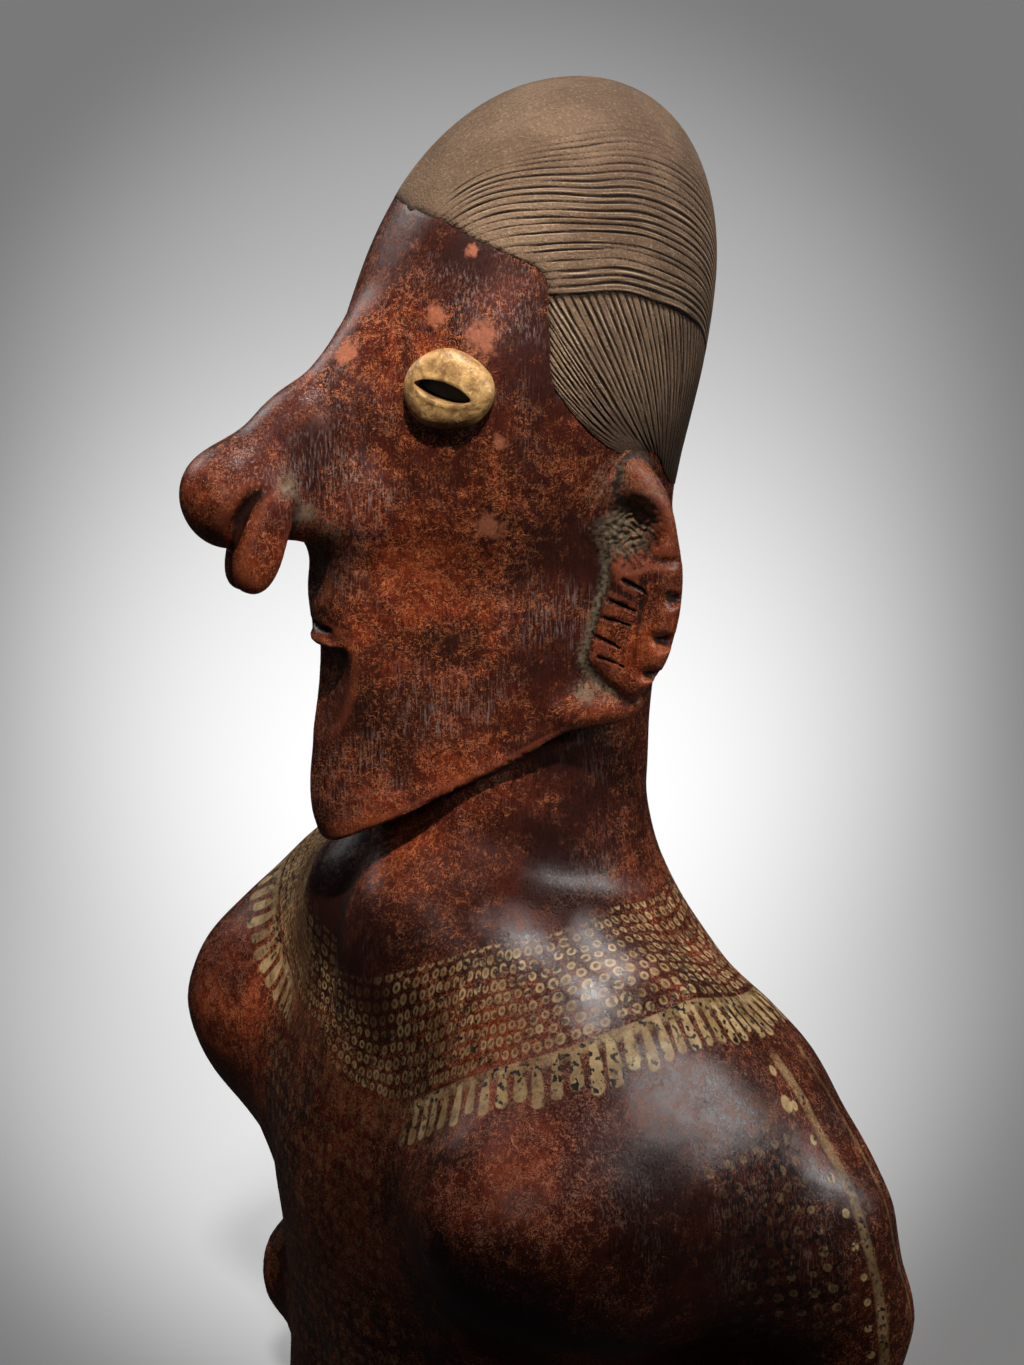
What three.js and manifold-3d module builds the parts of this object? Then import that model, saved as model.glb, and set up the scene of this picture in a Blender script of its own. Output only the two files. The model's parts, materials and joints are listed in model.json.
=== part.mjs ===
// A hollow-built ceramic figure of West Mexico, head and shoulders, cut flat below: a tall head of
// combed hair, a long beak of a nose, coffee-bean eyes, notched ears and full round shoulders over a
// narrow chest. Millimetres, +Z up. The figure looks along -Y and its left side is +X. The origin is on
// the base plane, in the middle of the overall width and depth.
import * as THREE from "three";
import { mergeVertices } from "three/addons/utils/BufferGeometryUtils.js";
import Module from "manifold-3d";

// The driving size. The free form is drawn on a grid of its own, 380 units tall, and every number of it below
// is in those units, so the whole form keeps its proportions when the height changes.
const HEIGHT = 380;
const GRID_HEIGHT = 380;

// The head.
const CRANIUM = { centre: [0, 3.8, 315], radii: [43, 46.1, 64], power: 2.14, lean: 0.22 };
const FACE = {
  front: [
    [187, -54], [201, -55], [228, -53.4], [244, -54.8],
    [259, -56.5], [290, -51.4], [317, -43.2], [345, -35],
  ],
  frontRadius: [[187, 9], [228, 10], [270, 11], [330, 15]],
  back: 4,
  backRadius: 38,
  top: 330,
  topBlend: 30,
  crownBlend: 12,
};
const JAW = { point: [0, -52, 187.4], slope: 34 };
const NOSE = {
  bridge: [0, -35.7, 316.6],
  bridgeRadius: 8,
  root: [0, -40, 279],
  rootRadius: 13,
  tip: [0, -77.3, 282],
  tipRadius: 10.5,
  sideBlend: 12,
  faceBlend: 9,
};
const UPPER_LIP_HOLLOW = { centre: [0, -65, 261], radii: [9, 11, 12], blend: 4 };
const CHIN_HOLLOW = { centre: [0, -66, 225], radii: [12, 14, 17], blend: 4 };
const JOWL = { centre: [38, 7, 226], radii: [5.5, 12, 5.5], blend: 6 };

// The body. Numbers of one side serve both.
const NECK = { top: [0, 2, 215], topRadius: 33, foot: [0, -4.8, 100], footRadius: 44.2, blend: 40 };
const NAPE = { top: [0, 11, 265], topRadius: 32, foot: [0, 3.5, 205], footRadius: 31.5, blend: 3 };
const SLOPE = {
  inner: [14, -32.8, 162.5],
  innerRadius: 17.3,
  outer: [60, -6.2, 140.9],
  outerRadius: 27.9,
  blend: 20,
};
const THROAT = { top: [0, -27, 180], topRadius: 8, foot: [0, -42, 118], footRadius: 10, blend: 12 };
const CHEST = { centre: [0, 6, 58], radii: [44, 55.7, 60.3], power: 2.6 };
const TRUNK = { centre: [0, 5.4, 60], radii: [66, 61, 98.1], power: 2.8, blend: 10 };
const SHOULDER = {
  centre: [62.4, 4.7, 107.1],
  radii: [46, 69.4, 50],
  power: 1.85,
  yaw: 20,
  pitch: -4.2,
  blend: 26,
};
const ARM = {
  top: [76, 41.4, 89.5],
  topRadius: 30,
  bend: [85, 56.9, 66.2],
  bendRadius: 16,
  foot: [83, 44, -20],
  footRadius: 15.5,
  bendBlend: 6,
  blend: 14,
};
const FLANK = { top: [46, -42, 92], topRadius: 9, foot: [62, -14, 12], footRadius: 12, blend: 8 };
const BREAST = { centre: [50, -36.3, 38.9], radii: [16, 16, 18], blend: 6 };

// Set on crisply: wings of the nose, lower lip, eyes and ears. `turn` faces them forward of sideways.
const NOSTRIL = { centre: [7.2, -71, 272.4], radii: [4.8, 6, 14], tilt: -29 };
const LOWER_LIP = { centre: [0, -49.5, 241], radii: [9, 5, 3.5] };
const MOUTH = { centre: [0, -56, 246.5], size: [18, 8, 2.4] };
const EYE = {
  centre: [28.5, -29.8, 311],
  rightDrop: 2.5,
  radii: [7, 10.8, 10],
  turn: 33,
  slit: { out: 5.4, radii: [4, 7, 1.8], tilt: -15 },
};
const EAR = {
  centre: [41, 14.5, 259.2],
  radii: [9, 12.6, 32.6],
  turn: 22,
  hollow: { offset: [8, -2.5, 15], radii: [5.5, 7, 10] },
  slash: { count: 5, first: 0, spacing: 5, at: [7.5, -6.6], size: [5, 6.5, 1.3], tilt: -14 },
  notch: { count: 3, first: -4, spacing: 9.5, size: [11, 5, 2.6] },
};

// Grids for the skins: fine on the head, wide on the body. `from` and `to` are opposite corners.
const HEAD_GRID = { cell: 6.3, from: [-63, -107.1, 160], to: [63, 75, 396] };
const BODY_GRID = { cell: 10.2, from: [-132.6, -112.2, -30], to: [132.6, 112.2, 316] };
const HEAD_FOOT = 172;
const BODY_FOOT = -12;
const ROUND_STEPS = 16;
const SMALL_STEPS = 16;

const radians = THREE.MathUtils.degToRad;

// Soft union and soft common part: `reach` is how far apart two surfaces start to flow together.
function join(a, b, reach) {
  const near = Math.max(reach - Math.abs(a - b), 0) / reach;
  return Math.min(a, b) - near * near * reach * 0.25;
}
function common(a, b, reach) {
  return -join(-a, -b, reach);
}

// A smooth curve through [z, value] stations, level beyond both ends.
function along(stations, z) {
  const last = stations.length - 1;
  if (z <= stations[0][0]) return stations[0][1];
  if (z >= stations[last][0]) return stations[last][1];
  const i = stations.findIndex((station) => station[0] > z) - 1;
  const slope = (k) => {
    const a = stations[Math.max(k - 1, 0)];
    const b = stations[Math.min(k + 1, last)];
    return (b[1] - a[1]) / (b[0] - a[0]);
  };
  const [z0, v0] = stations[i];
  const [z1, v1] = stations[i + 1];
  const span = z1 - z0;
  const t = (z - z0) / span;
  const t2 = t * t;
  const t3 = t2 * t;
  const from = (2 * t3 - 3 * t2 + 1) * v0 + (t3 - 2 * t2 + t) * span * slope(i);
  const to = (3 * t2 - 2 * t3) * v1 + (t3 - t2) * span * slope(i + 1);
  return from + to;
}

// Distances to simple bodies, close to true near the surface and negative inside.
function ellipsoid([x, y, z], [cx, cy, cz], [rx, ry, rz]) {
  const [u, v, w] = [x - cx, y - cy, z - cz];
  const reach = Math.hypot(u / rx, v / ry, w / rz);
  const gradient = Math.hypot(u / (rx * rx), v / (ry * ry), w / (rz * rz));
  return gradient < 1e-9 ? -Math.min(rx, ry, rz) : (reach * (reach - 1)) / gradient;
}
function fullEllipsoid([x, y, z], [cx, cy, cz], [rx, ry, rz], power) {
  const [u, v, w] = [Math.abs(x - cx), Math.abs(y - cy), Math.abs(z - cz)];
  const reach = ((u / rx) ** power + (v / ry) ** power + (w / rz) ** power) ** (1 / power);
  return reach < 1e-9 ? -Math.min(rx, ry, rz) : Math.hypot(u, v, w) * (1 - 1 / reach);
}
function taper(p, a, b, ra, rb) {
  const axis = [b[0] - a[0], b[1] - a[1], b[2] - a[2]];
  const from = [p[0] - a[0], p[1] - a[1], p[2] - a[2]];
  const length2 = axis[0] ** 2 + axis[1] ** 2 + axis[2] ** 2;
  const narrowing = ra - rb;
  const side2 = length2 - narrowing * narrowing;
  const y = from[0] * axis[0] + from[1] * axis[1] + from[2] * axis[2];
  const z = y - length2;
  const x2 = [0, 1, 2].reduce((sum, i) => sum + (from[i] * length2 - axis[i] * y) ** 2, 0);
  const y2 = y * y * length2;
  const z2 = z * z * length2;
  const k = Math.sign(narrowing) * narrowing * narrowing * x2;
  if (Math.sign(z) * side2 * z2 > k) return Math.sqrt(x2 + z2) / length2 - rb;
  if (Math.sign(y) * side2 * y2 < k) return Math.sqrt(x2 + y2) / length2 - ra;
  return (Math.sqrt((x2 * side2) / length2) + y * narrowing) / length2 - ra;
}

// The plan of the face: a small circle in front, a large one behind, and straight sides between them.
function facePlan(x, y, front, frontRadius, back, backRadius) {
  const length = back - (front + frontRadius);
  const [u, v] = [Math.abs(x), y - (front + frontRadius)];
  const b = THREE.MathUtils.clamp((frontRadius - backRadius) / length, -0.95, 0.95);
  const a = Math.sqrt(1 - b * b);
  const k = -b * u + a * v;
  if (k < 0) return Math.hypot(u, v) - frontRadius;
  if (k > a * length) return Math.hypot(u, v - length) - backRadius;
  return a * u + b * v - frontRadius;
}

// A point seen in a frame turned about a centre: yaw about the vertical, then pitch about the sideways axis.
function seenTurned([x, y, z], [cx, cy, cz], yaw, pitch = 0) {
  const [c, s] = [Math.cos(radians(yaw)), Math.sin(radians(yaw))];
  const [u, v] = [(x - cx) * c + (y - cy) * s, -(x - cx) * s + (y - cy) * c];
  const [cp, sp] = [Math.cos(radians(pitch)), Math.sin(radians(pitch))];
  return [cx + u, cy + v * cp + (z - cz) * sp, cz - v * sp + (z - cz) * cp];
}

// The head without its ears, down past the jaw.
function headForm(x, y, z) {
  const p = [x, y, z];
  const side = [Math.abs(x), y, z];
  const lean = CRANIUM.lean * (z - CRANIUM.centre[2]);
  const cranium = fullEllipsoid([x, y - lean, z], CRANIUM.centre, CRANIUM.radii, CRANIUM.power);
  const plan = facePlan(x, y, along(FACE.front, z), along(FACE.frontRadius, z), FACE.back, FACE.backRadius);
  const face = common(plan, z - FACE.top, FACE.topBlend);
  const ridge = taper(p, NOSE.bridge, NOSE.tip, NOSE.bridgeRadius, NOSE.tipRadius);
  const sides = taper(p, NOSE.root, NOSE.tip, NOSE.rootRadius, NOSE.tipRadius);
  let head = join(cranium, face, FACE.crownBlend);
  head = join(head, join(ridge, sides, NOSE.sideBlend), NOSE.faceBlend);
  head = common(head, -ellipsoid(p, UPPER_LIP_HOLLOW.centre, UPPER_LIP_HOLLOW.radii), UPPER_LIP_HOLLOW.blend);
  head = common(head, -ellipsoid(p, CHIN_HOLLOW.centre, CHIN_HOLLOW.radii), CHIN_HOLLOW.blend);
  head = join(head, ellipsoid(side, JOWL.centre, JOWL.radii), JOWL.blend);
  return Math.max(head, HEAD_FOOT - z);
}

// Below their widest level the chest and the trunk run straight down.
function straightBelow([x, y, z], form) {
  return fullEllipsoid([x, y, Math.max(z, form.centre[2])], form.centre, form.radii, form.power);
}

// The body with its neck, down past the base.
function bodyForm(x, y, z) {
  const p = [x, y, z];
  const side = [Math.abs(x), y, z];
  const turned = seenTurned(side, SHOULDER.centre, SHOULDER.yaw, SHOULDER.pitch);
  const shoulder = fullEllipsoid(turned, SHOULDER.centre, SHOULDER.radii, SHOULDER.power);
  const upperArm = taper(side, ARM.top, ARM.bend, ARM.topRadius, ARM.bendRadius);
  const lowerArm = taper(side, ARM.bend, ARM.foot, ARM.bendRadius, ARM.footRadius);
  const arm = join(upperArm, lowerArm, ARM.bendBlend);
  let body = join(straightBelow(p, CHEST), straightBelow(p, TRUNK), TRUNK.blend);
  body = join(body, taper(p, NECK.top, NECK.foot, NECK.topRadius, NECK.footRadius), NECK.blend);
  body = join(body, taper(p, NAPE.top, NAPE.foot, NAPE.topRadius, NAPE.footRadius), NAPE.blend);
  body = join(body, join(shoulder, arm, ARM.blend), SHOULDER.blend);
  body = join(body, taper(side, FLANK.top, FLANK.foot, FLANK.topRadius, FLANK.footRadius), FLANK.blend);
  body = join(body, taper(side, SLOPE.inner, SLOPE.outer, SLOPE.innerRadius, SLOPE.outerRadius), SLOPE.blend);
  body = join(body, taper(p, THROAT.top, THROAT.foot, THROAT.topRadius, THROAT.footRadius), THROAT.blend);
  body = join(body, ellipsoid(side, BREAST.centre, BREAST.radii), BREAST.blend);
  return Math.max(body, BODY_FOOT - z);
}

function steps(from, to, size) {
  return Array.from({ length: Math.ceil((to - from) / size) + 1 }, (_, i) => from + i * size);
}

// Moves a point onto the surface along the steepest way, never further than the limit.
function settle(field, point, limit) {
  const e = 0.05;
  const start = point.clone();
  for (let turn = 0; turn < 4; turn += 1) {
    const [x, y, z] = point;
    const gradient = new THREE.Vector3(
      field(x + e, y, z) - field(x - e, y, z),
      field(x, y + e, z) - field(x, y - e, z),
      field(x, y, z + e) - field(x, y, z - e),
    ).divideScalar(2 * e);
    const steep = Math.max(gradient.lengthSq(), 0.25);
    point.addScaledVector(gradient, -field(x, y, z) / steep);
  }
  return point.sub(start).clampLength(0, limit).add(start);
}

// Surface nets: one vertex in each cell that the surface crosses, and one quad across each grid edge
// that it crosses.
function skin(field, grid) {
  const [us, vs, zs] = [0, 1, 2].map((axis) => steps(grid.from[axis], grid.to[axis], grid.cell));
  const [nu, nv, nz] = [us.length, vs.length, zs.length];
  const index = (i, j, k) => (k * nv + j) * nu + i;
  const corner = (i, j, k) => new THREE.Vector3(us[i], vs[j], zs[k]);
  const each = (first, spare, act) => {
    for (let k = first; k < nz - spare; k += 1) {
      for (let j = first; j < nv - spare; j += 1) {
        for (let i = first; i < nu - spare; i += 1) act(i, j, k);
      }
    }
  };
  const values = new Float64Array(nu * nv * nz);
  each(0, 0, (i, j, k) => {
    values[index(i, j, k)] = field(us[i], vs[j], zs[k]);
  });
  const offsets = [[0, 0, 0], [1, 0, 0], [0, 1, 0], [1, 1, 0], [0, 0, 1], [1, 0, 1], [0, 1, 1], [1, 1, 1]];
  const edges = [
    [0, 1], [2, 3], [4, 5], [6, 7],
    [0, 2], [1, 3], [4, 6], [5, 7],
    [0, 4], [1, 5], [2, 6], [3, 7],
  ];
  const vertexOf = new Map();
  const points = [];
  each(0, 1, (i, j, k) => {
    const at = offsets.map(([a, b, c]) => values[index(i + a, j + b, k + c)]);
    const middle = new THREE.Vector3();
    let crossings = 0;
    for (const [a, b] of edges) {
      if (at[a] < 0 === at[b] < 0) continue;
      const from = corner(i + offsets[a][0], j + offsets[a][1], k + offsets[a][2]);
      const to = corner(i + offsets[b][0], j + offsets[b][1], k + offsets[b][2]);
      middle.add(from.lerp(to, at[a] / (at[a] - at[b])));
      crossings += 1;
    }
    if (crossings === 0) return;
    vertexOf.set(index(i, j, k), points.length);
    points.push(settle(field, middle.divideScalar(crossings), grid.cell * 0.45));
  });
  const triangles = [];
  const quad = (a, b, c, d) => {
    const shortFirst = points[a].distanceToSquared(points[c]) < points[b].distanceToSquared(points[d]);
    triangles.push(...(shortFirst ? [a, b, c, a, c, d] : [a, b, d, b, c, d]));
  };
  each(1, 1, (i, j, k) => {
    const inside = values[index(i, j, k)] < 0;
    const vertex = (a, b, c) => vertexOf.get(index(i + a, j + b, k + c));
    const across = (far, ring) => {
      if (inside === far < 0) return;
      const corners = ring.map((place) => vertex(...place));
      quad(...(inside ? corners : corners.reverse()));
    };
    across(values[index(i + 1, j, k)], [[0, -1, -1], [0, 0, -1], [0, 0, 0], [0, -1, 0]]);
    across(values[index(i, j + 1, k)], [[-1, 0, -1], [-1, 0, 0], [0, 0, 0], [0, 0, -1]]);
    across(values[index(i, j, k + 1)], [[-1, -1, 0], [0, -1, 0], [0, 0, 0], [-1, 0, 0]]);
  });
  const geometry = new THREE.BufferGeometry();
  geometry.setAttribute("position", new THREE.Float32BufferAttribute(points.flatMap((p) => [...p]), 3));
  geometry.setIndex(triangles);
  return geometry;
}

const wasm = await Module();
wasm.setup();

function solid(geometry) {
  const bare = geometry.clone();
  bare.deleteAttribute("normal");
  bare.deleteAttribute("uv");
  const merged = mergeVertices(bare, 1e-4);
  const mesh = new wasm.Mesh({
    numProp: 3,
    vertProperties: merged.attributes.position.array,
    triVerts: new Uint32Array(merged.index.array),
  });
  return new wasm.Manifold(mesh);
}
function geometryOf(manifold) {
  const mesh = manifold.getMesh();
  const geometry = new THREE.BufferGeometry();
  geometry.setAttribute("position", new THREE.Float32BufferAttribute(mesh.vertProperties, 3));
  geometry.setIndex(Array.from(mesh.triVerts));
  return geometry;
}

// An egg shape, its poles up and down.
function egg([rx, ry, rz], around = ROUND_STEPS, down = ROUND_STEPS / 2) {
  return new THREE.SphereGeometry(1, around, down).rotateX(Math.PI / 2).scale(rx, ry, rz);
}

// The same geometry on the figure's right side.
function mirrored(geometry) {
  const twin = geometry.index ? geometry.toNonIndexed() : geometry.clone();
  twin.deleteAttribute("normal");
  twin.deleteAttribute("uv");
  const position = twin.attributes.position;
  for (let i = 0; i < position.count; i += 3) {
    const corners = [0, 2, 1].map((k) => new THREE.Vector3().fromBufferAttribute(position, i + k));
    corners.forEach((corner, k) => position.setXYZ(i + k, -corner.x, corner.y, corner.z));
  }
  return mergeVertices(twin, 1e-5);
}

// Set in place: turned forward about the vertical, then moved to the centre.
function placed(geometry, form) {
  return geometry.rotateZ(-radians(form.turn)).translate(...form.centre);
}

function eyeSlit() {
  const { out, radii, tilt } = EYE.slit;
  return placed(egg(radii, SMALL_STEPS).rotateX(radians(tilt)).translate(out, 0, 0), EYE);
}
function earCuts() {
  const { hollow, slash, notch, radii } = EAR;
  const cuts = [egg(hollow.radii, SMALL_STEPS).translate(...hollow.offset)];
  for (let i = 0; i < slash.count; i += 1) {
    const down = slash.first - i * slash.spacing;
    const back = slash.at[1] * Math.sqrt(1 - (down / radii[2]) ** 2);
    const box = new THREE.BoxGeometry(...slash.size).rotateX(radians(slash.tilt));
    cuts.push(box.translate(slash.at[0] + slash.size[0] / 2 - 1, back, down));
  }
  for (let i = 0; i < notch.count; i += 1) {
    const down = notch.first - i * notch.spacing;
    const edge = radii[1] * Math.sqrt(1 - (down / radii[2]) ** 2);
    cuts.push(new THREE.BoxGeometry(...notch.size).translate(notch.size[0] / 4, edge, down));
  }
  return cuts.map((cut) => placed(cut, EAR));
}
function mouthCut() {
  return new THREE.BoxGeometry(...MOUTH.size).translate(...MOUTH.centre);
}

// Everything below the jaw's slanting edge, and everything below the base plane.
function belowJaw() {
  const [width, length, depth] = [200, 300, 120];
  const block = new THREE.BoxGeometry(width, length, depth).translate(0, 0, -depth / 2);
  return block.rotateX(radians(JAW.slope)).translate(...JAW.point);
}
function belowBase() {
  const [width, depth] = [400, 60];
  return new THREE.BoxGeometry(width, width, depth).translate(0, 0, -depth / 2);
}

function figureGeometry() {
  const head = solid(skin(headForm, HEAD_GRID)).subtract(solid(belowJaw()));
  const body = solid(skin(bodyForm, BODY_GRID)).subtract(solid(belowBase()));
  const wing = egg(NOSTRIL.radii).rotateX(radians(NOSTRIL.tilt)).translate(...NOSTRIL.centre);
  const eye = placed(egg(EYE.radii), EYE);
  const ear = placed(egg(EAR.radii), EAR);
  const lip = egg(LOWER_LIP.radii, SMALL_STEPS).translate(...LOWER_LIP.centre);
  const lower = (geometry) => geometry.translate(0, 0, -EYE.rightDrop);
  let clay = head.add(body);
  for (const added of [wing, mirrored(wing), lip, eye, lower(mirrored(eye)), ear, mirrored(ear)]) {
    clay = clay.add(solid(added));
  }
  const slit = eyeSlit();
  const earCuttings = earCuts();
  for (const cut of [slit, lower(mirrored(slit)), ...earCuttings, ...earCuttings.map(mirrored), mouthCut()]) {
    clay = clay.subtract(solid(cut));
  }
  const unit = HEIGHT / GRID_HEIGHT;
  const geometry = geometryOf(clay).scale(unit, unit, unit);
  geometry.computeBoundingBox();
  const middle = geometry.boundingBox.getCenter(new THREE.Vector3());
  return geometry.translate(-middle.x, -middle.y, 0);
}

const bust = new THREE.Mesh(
  figureGeometry(),
  new THREE.MeshStandardMaterial({ color: 0x5a2418, roughness: 0.42, metalness: 0 }),
);
bust.name = "figure_bust";

const part = new THREE.Group();
part.add(bust);

export default part;
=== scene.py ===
"""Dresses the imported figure: burnished slip, painted yoke, combed clay hair and applied eyes.

The real piece was modelled freely by hand, with no straight line or true circle to start a primitive from.
So the bust is drawn as distances to its swelling forms and skinned, the hair is laid as grooved shells over
the skull, and the eyes are domed pellets on the face.
"""

import json
import logging
import math
from collections.abc import Callable, Sequence
from dataclasses import dataclass
from enum import Enum

import bpy
import numpy as np
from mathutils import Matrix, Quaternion, Vector

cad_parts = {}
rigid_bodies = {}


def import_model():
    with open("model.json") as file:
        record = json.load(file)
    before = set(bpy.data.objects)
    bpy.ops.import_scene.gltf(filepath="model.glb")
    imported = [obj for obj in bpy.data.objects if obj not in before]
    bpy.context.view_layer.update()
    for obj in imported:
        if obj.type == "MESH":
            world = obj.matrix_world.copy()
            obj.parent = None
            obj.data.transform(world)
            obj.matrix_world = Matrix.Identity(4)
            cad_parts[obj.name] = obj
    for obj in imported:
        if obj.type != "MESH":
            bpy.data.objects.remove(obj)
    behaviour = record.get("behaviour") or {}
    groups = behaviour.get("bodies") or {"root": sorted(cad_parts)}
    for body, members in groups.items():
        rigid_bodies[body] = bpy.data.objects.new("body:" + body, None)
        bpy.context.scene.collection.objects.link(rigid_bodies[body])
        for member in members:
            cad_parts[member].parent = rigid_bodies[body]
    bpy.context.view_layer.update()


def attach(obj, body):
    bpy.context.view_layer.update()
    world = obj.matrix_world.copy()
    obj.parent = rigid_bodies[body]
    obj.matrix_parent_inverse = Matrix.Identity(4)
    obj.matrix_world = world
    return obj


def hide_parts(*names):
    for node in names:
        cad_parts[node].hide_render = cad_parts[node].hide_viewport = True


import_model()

LOG = logging.getLogger("figure")
Array = np.ndarray
Point = tuple[float, float, float]
Triple = tuple[Array, Array, Array]
Field = Callable[[Triple], Array]
Curve = tuple[tuple[float, float], ...]
Spots = tuple[tuple[float, float, float, float], ...]
Socket = bpy.types.NodeSocket

MM = 0.001
# The form is drawn in the source's own millimetres, whose middle lies this far in front of the frame's.
MIDDLE_SHIFT = 8.0305
# The slip's surface lies this far inside the solid's, and the hair's a little less.
SLIP_DEPTH = 0.4
HAIR_DEPTH = 0.2
# Step of a numerical gradient, in millimetres.
PROBE = 0.05


class Side(Enum):
    """The figure's left or right, with the sign of its x."""

    LEFT = 1
    RIGHT = -1


class Cut(Enum):
    """How another object is combined with a piece."""

    JOINED = "UNION"
    TAKEN_OFF = "DIFFERENCE"


class Source(Enum):
    """What kind of light a lamp gives."""

    PANEL = "AREA"
    BEAM = "SPOT"
    FAR = "SUN"


def join(a: Array, b: Array, reach: float) -> Array:
    """Soft union of two distances.

    Args:
        a: First distance.
        b: Second distance.
        reach: How far apart the surfaces start to flow together.

    Returns:
        The joined distance.
    """
    near = np.maximum(reach - np.abs(a - b), 0.0) / reach
    return np.minimum(a, b) - near * near * reach * 0.25


def common(a: Array, b: Array, reach: float) -> Array:
    """Soft common part of two distances; arguments as in `join`."""
    return -join(-a, -b, reach)


def along(stations: Sequence[tuple[float, float]], z: Array) -> Array:
    """A smooth curve through stations, level beyond both ends.

    Args:
        stations: Pairs of place and value, in rising order of place.
        z: The places asked for.

    Returns:
        The values there.
    """
    at = np.array([s[0] for s in stations], float)
    value = np.array([s[1] for s in stations], float)
    last = len(at) - 1
    after = np.minimum(np.arange(last + 1) + 1, last)
    before = np.maximum(np.arange(last + 1) - 1, 0)
    slope = (value[after] - value[before]) / (at[after] - at[before])
    held = np.clip(z, at[0], at[-1])
    i = np.clip(np.searchsorted(at, held, side="right") - 1, 0, last - 1)
    span = at[i + 1] - at[i]
    t = (held - at[i]) / span
    t2 = t * t
    t3 = t2 * t
    start = (2 * t3 - 3 * t2 + 1) * value[i] + (t3 - 2 * t2 + t) * span * slope[i]
    return start + (3 * t2 - 2 * t3) * value[i + 1] + (t3 - t2) * span * slope[i + 1]


def lengths(points: Array) -> Array:
    """Length along a row of points, from its start to each."""
    return np.concatenate([[0], np.cumsum(np.linalg.norm(np.diff(points, axis=0), axis=1))])


def ellipsoid(p: Triple, centre: Point, radii: Point) -> Array:
    """Distance to an ellipsoid, close to true near its surface.

    Args:
        p: The points.
        centre: Its middle.
        radii: Its half sizes.

    Returns:
        The distance.
    """
    u, v, w = (p[i] - centre[i] for i in range(3))
    rx, ry, rz = radii
    reach = np.sqrt((u / rx) ** 2 + (v / ry) ** 2 + (w / rz) ** 2)
    steep = np.sqrt((u / rx**2) ** 2 + (v / ry**2) ** 2 + (w / rz**2) ** 2)
    return reach * (reach - 1) / np.maximum(steep, 1e-9)


def full_ellipsoid(p: Triple, centre: Point, radii: Point, power: float) -> Array:
    """Distance to an ellipsoid filled out toward its box by a power above two.

    Args:
        p: The points.
        centre: Its middle.
        radii: Its half sizes.
        power: 2 for an ellipsoid, more for a fuller form.

    Returns:
        The distance.
    """
    u, v, w = (np.abs(p[i] - centre[i]) for i in range(3))
    rx, ry, rz = radii
    reach = ((u / rx) ** power + (v / ry) ** power + (w / rz) ** power) ** (1 / power)
    return np.sqrt(u * u + v * v + w * w) * (1 - 1 / np.maximum(reach, 1e-6))


def taper(p: Triple, a: Point, b: Point, ra: float, rb: float) -> Array:
    """Distance to a round-ended taper from a to b.

    Args:
        p: The points.
        a: Centre of the first end.
        b: Centre of the second end.
        ra: Radius of the first end.
        rb: Radius of the second end.

    Returns:
        The distance.
    """
    axis = [b[i] - a[i] for i in range(3)]
    off = [p[i] - a[i] for i in range(3)]
    length2 = sum(c * c for c in axis)
    narrowing = ra - rb
    side2 = length2 - narrowing * narrowing
    y = sum(off[i] * axis[i] for i in range(3))
    z = y - length2
    x2 = sum((off[i] * length2 - axis[i] * y) ** 2 for i in range(3))
    y2 = y * y * length2
    z2 = z * z * length2
    k = np.sign(narrowing) * narrowing * narrowing * x2
    far = np.sqrt(x2 + z2) / length2 - rb
    near = np.sqrt(x2 + y2) / length2 - ra
    middle = (np.sqrt(x2 * side2 / length2) + y * narrowing) / length2 - ra
    return np.where(np.sign(z) * side2 * z2 > k, far, np.where(np.sign(y) * side2 * y2 < k, near, middle))


def turned(p: Triple, centre: Point, yaw: float, pitch: float = 0.0) -> Triple:
    """The points as seen in a frame turned about a centre.

    Args:
        p: The points.
        centre: The centre of the turn.
        yaw: Turn about the vertical, in degrees.
        pitch: Turn about the sideways axis after that, in degrees.

    Returns:
        The points in the turned frame.
    """
    c, s = math.cos(math.radians(yaw)), math.sin(math.radians(yaw))
    cp, sp = math.cos(math.radians(pitch)), math.sin(math.radians(pitch))
    u = (p[0] - centre[0]) * c + (p[1] - centre[1]) * s
    v = -(p[0] - centre[0]) * s + (p[1] - centre[1]) * c
    w = p[2] - centre[2]
    return centre[0] + u, centre[1] + v * cp + w * sp, centre[2] - v * sp + w * cp


def mirrored(p: Triple) -> Triple:
    """The points folded onto the figure's left side."""
    return np.abs(p[0]), p[1], p[2]


def step(value: Array, low: float, high: float) -> Array:
    """A smooth step from 0 at low to 1 at high."""
    t = np.clip((value - low) / (high - low), 0, 1)
    return t * t * (3 - 2 * t)


def bell(value: Array, middle: float, width: float) -> Array:
    """A bell curve of height 1."""
    return np.exp(-(((value - middle) / width) ** 2))


def uneven(p: Triple, size: float = 0.2) -> Array:
    """The hand's slight waviness, in millimetres.

    Args:
        p: The points.
        size: Its rough height.

    Returns:
        What is added to a distance.
    """
    x, y, z = p
    waves = np.sin(x / 5.1 + 1.3 * np.sin(z / 11 + 1)) * np.sin(z / 7.3 + 0.8 * np.sin(y / 9))
    waves = waves + 0.7 * np.sin(y / 3.9 + 1.1 * np.sin(x / 8)) * np.sin(z / 4.4 + 2)
    return size * (waves + 0.8 * np.sin((x + y) / 12.7 + 0.5) * np.cos(z / 13.1 + y / 21))


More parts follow.
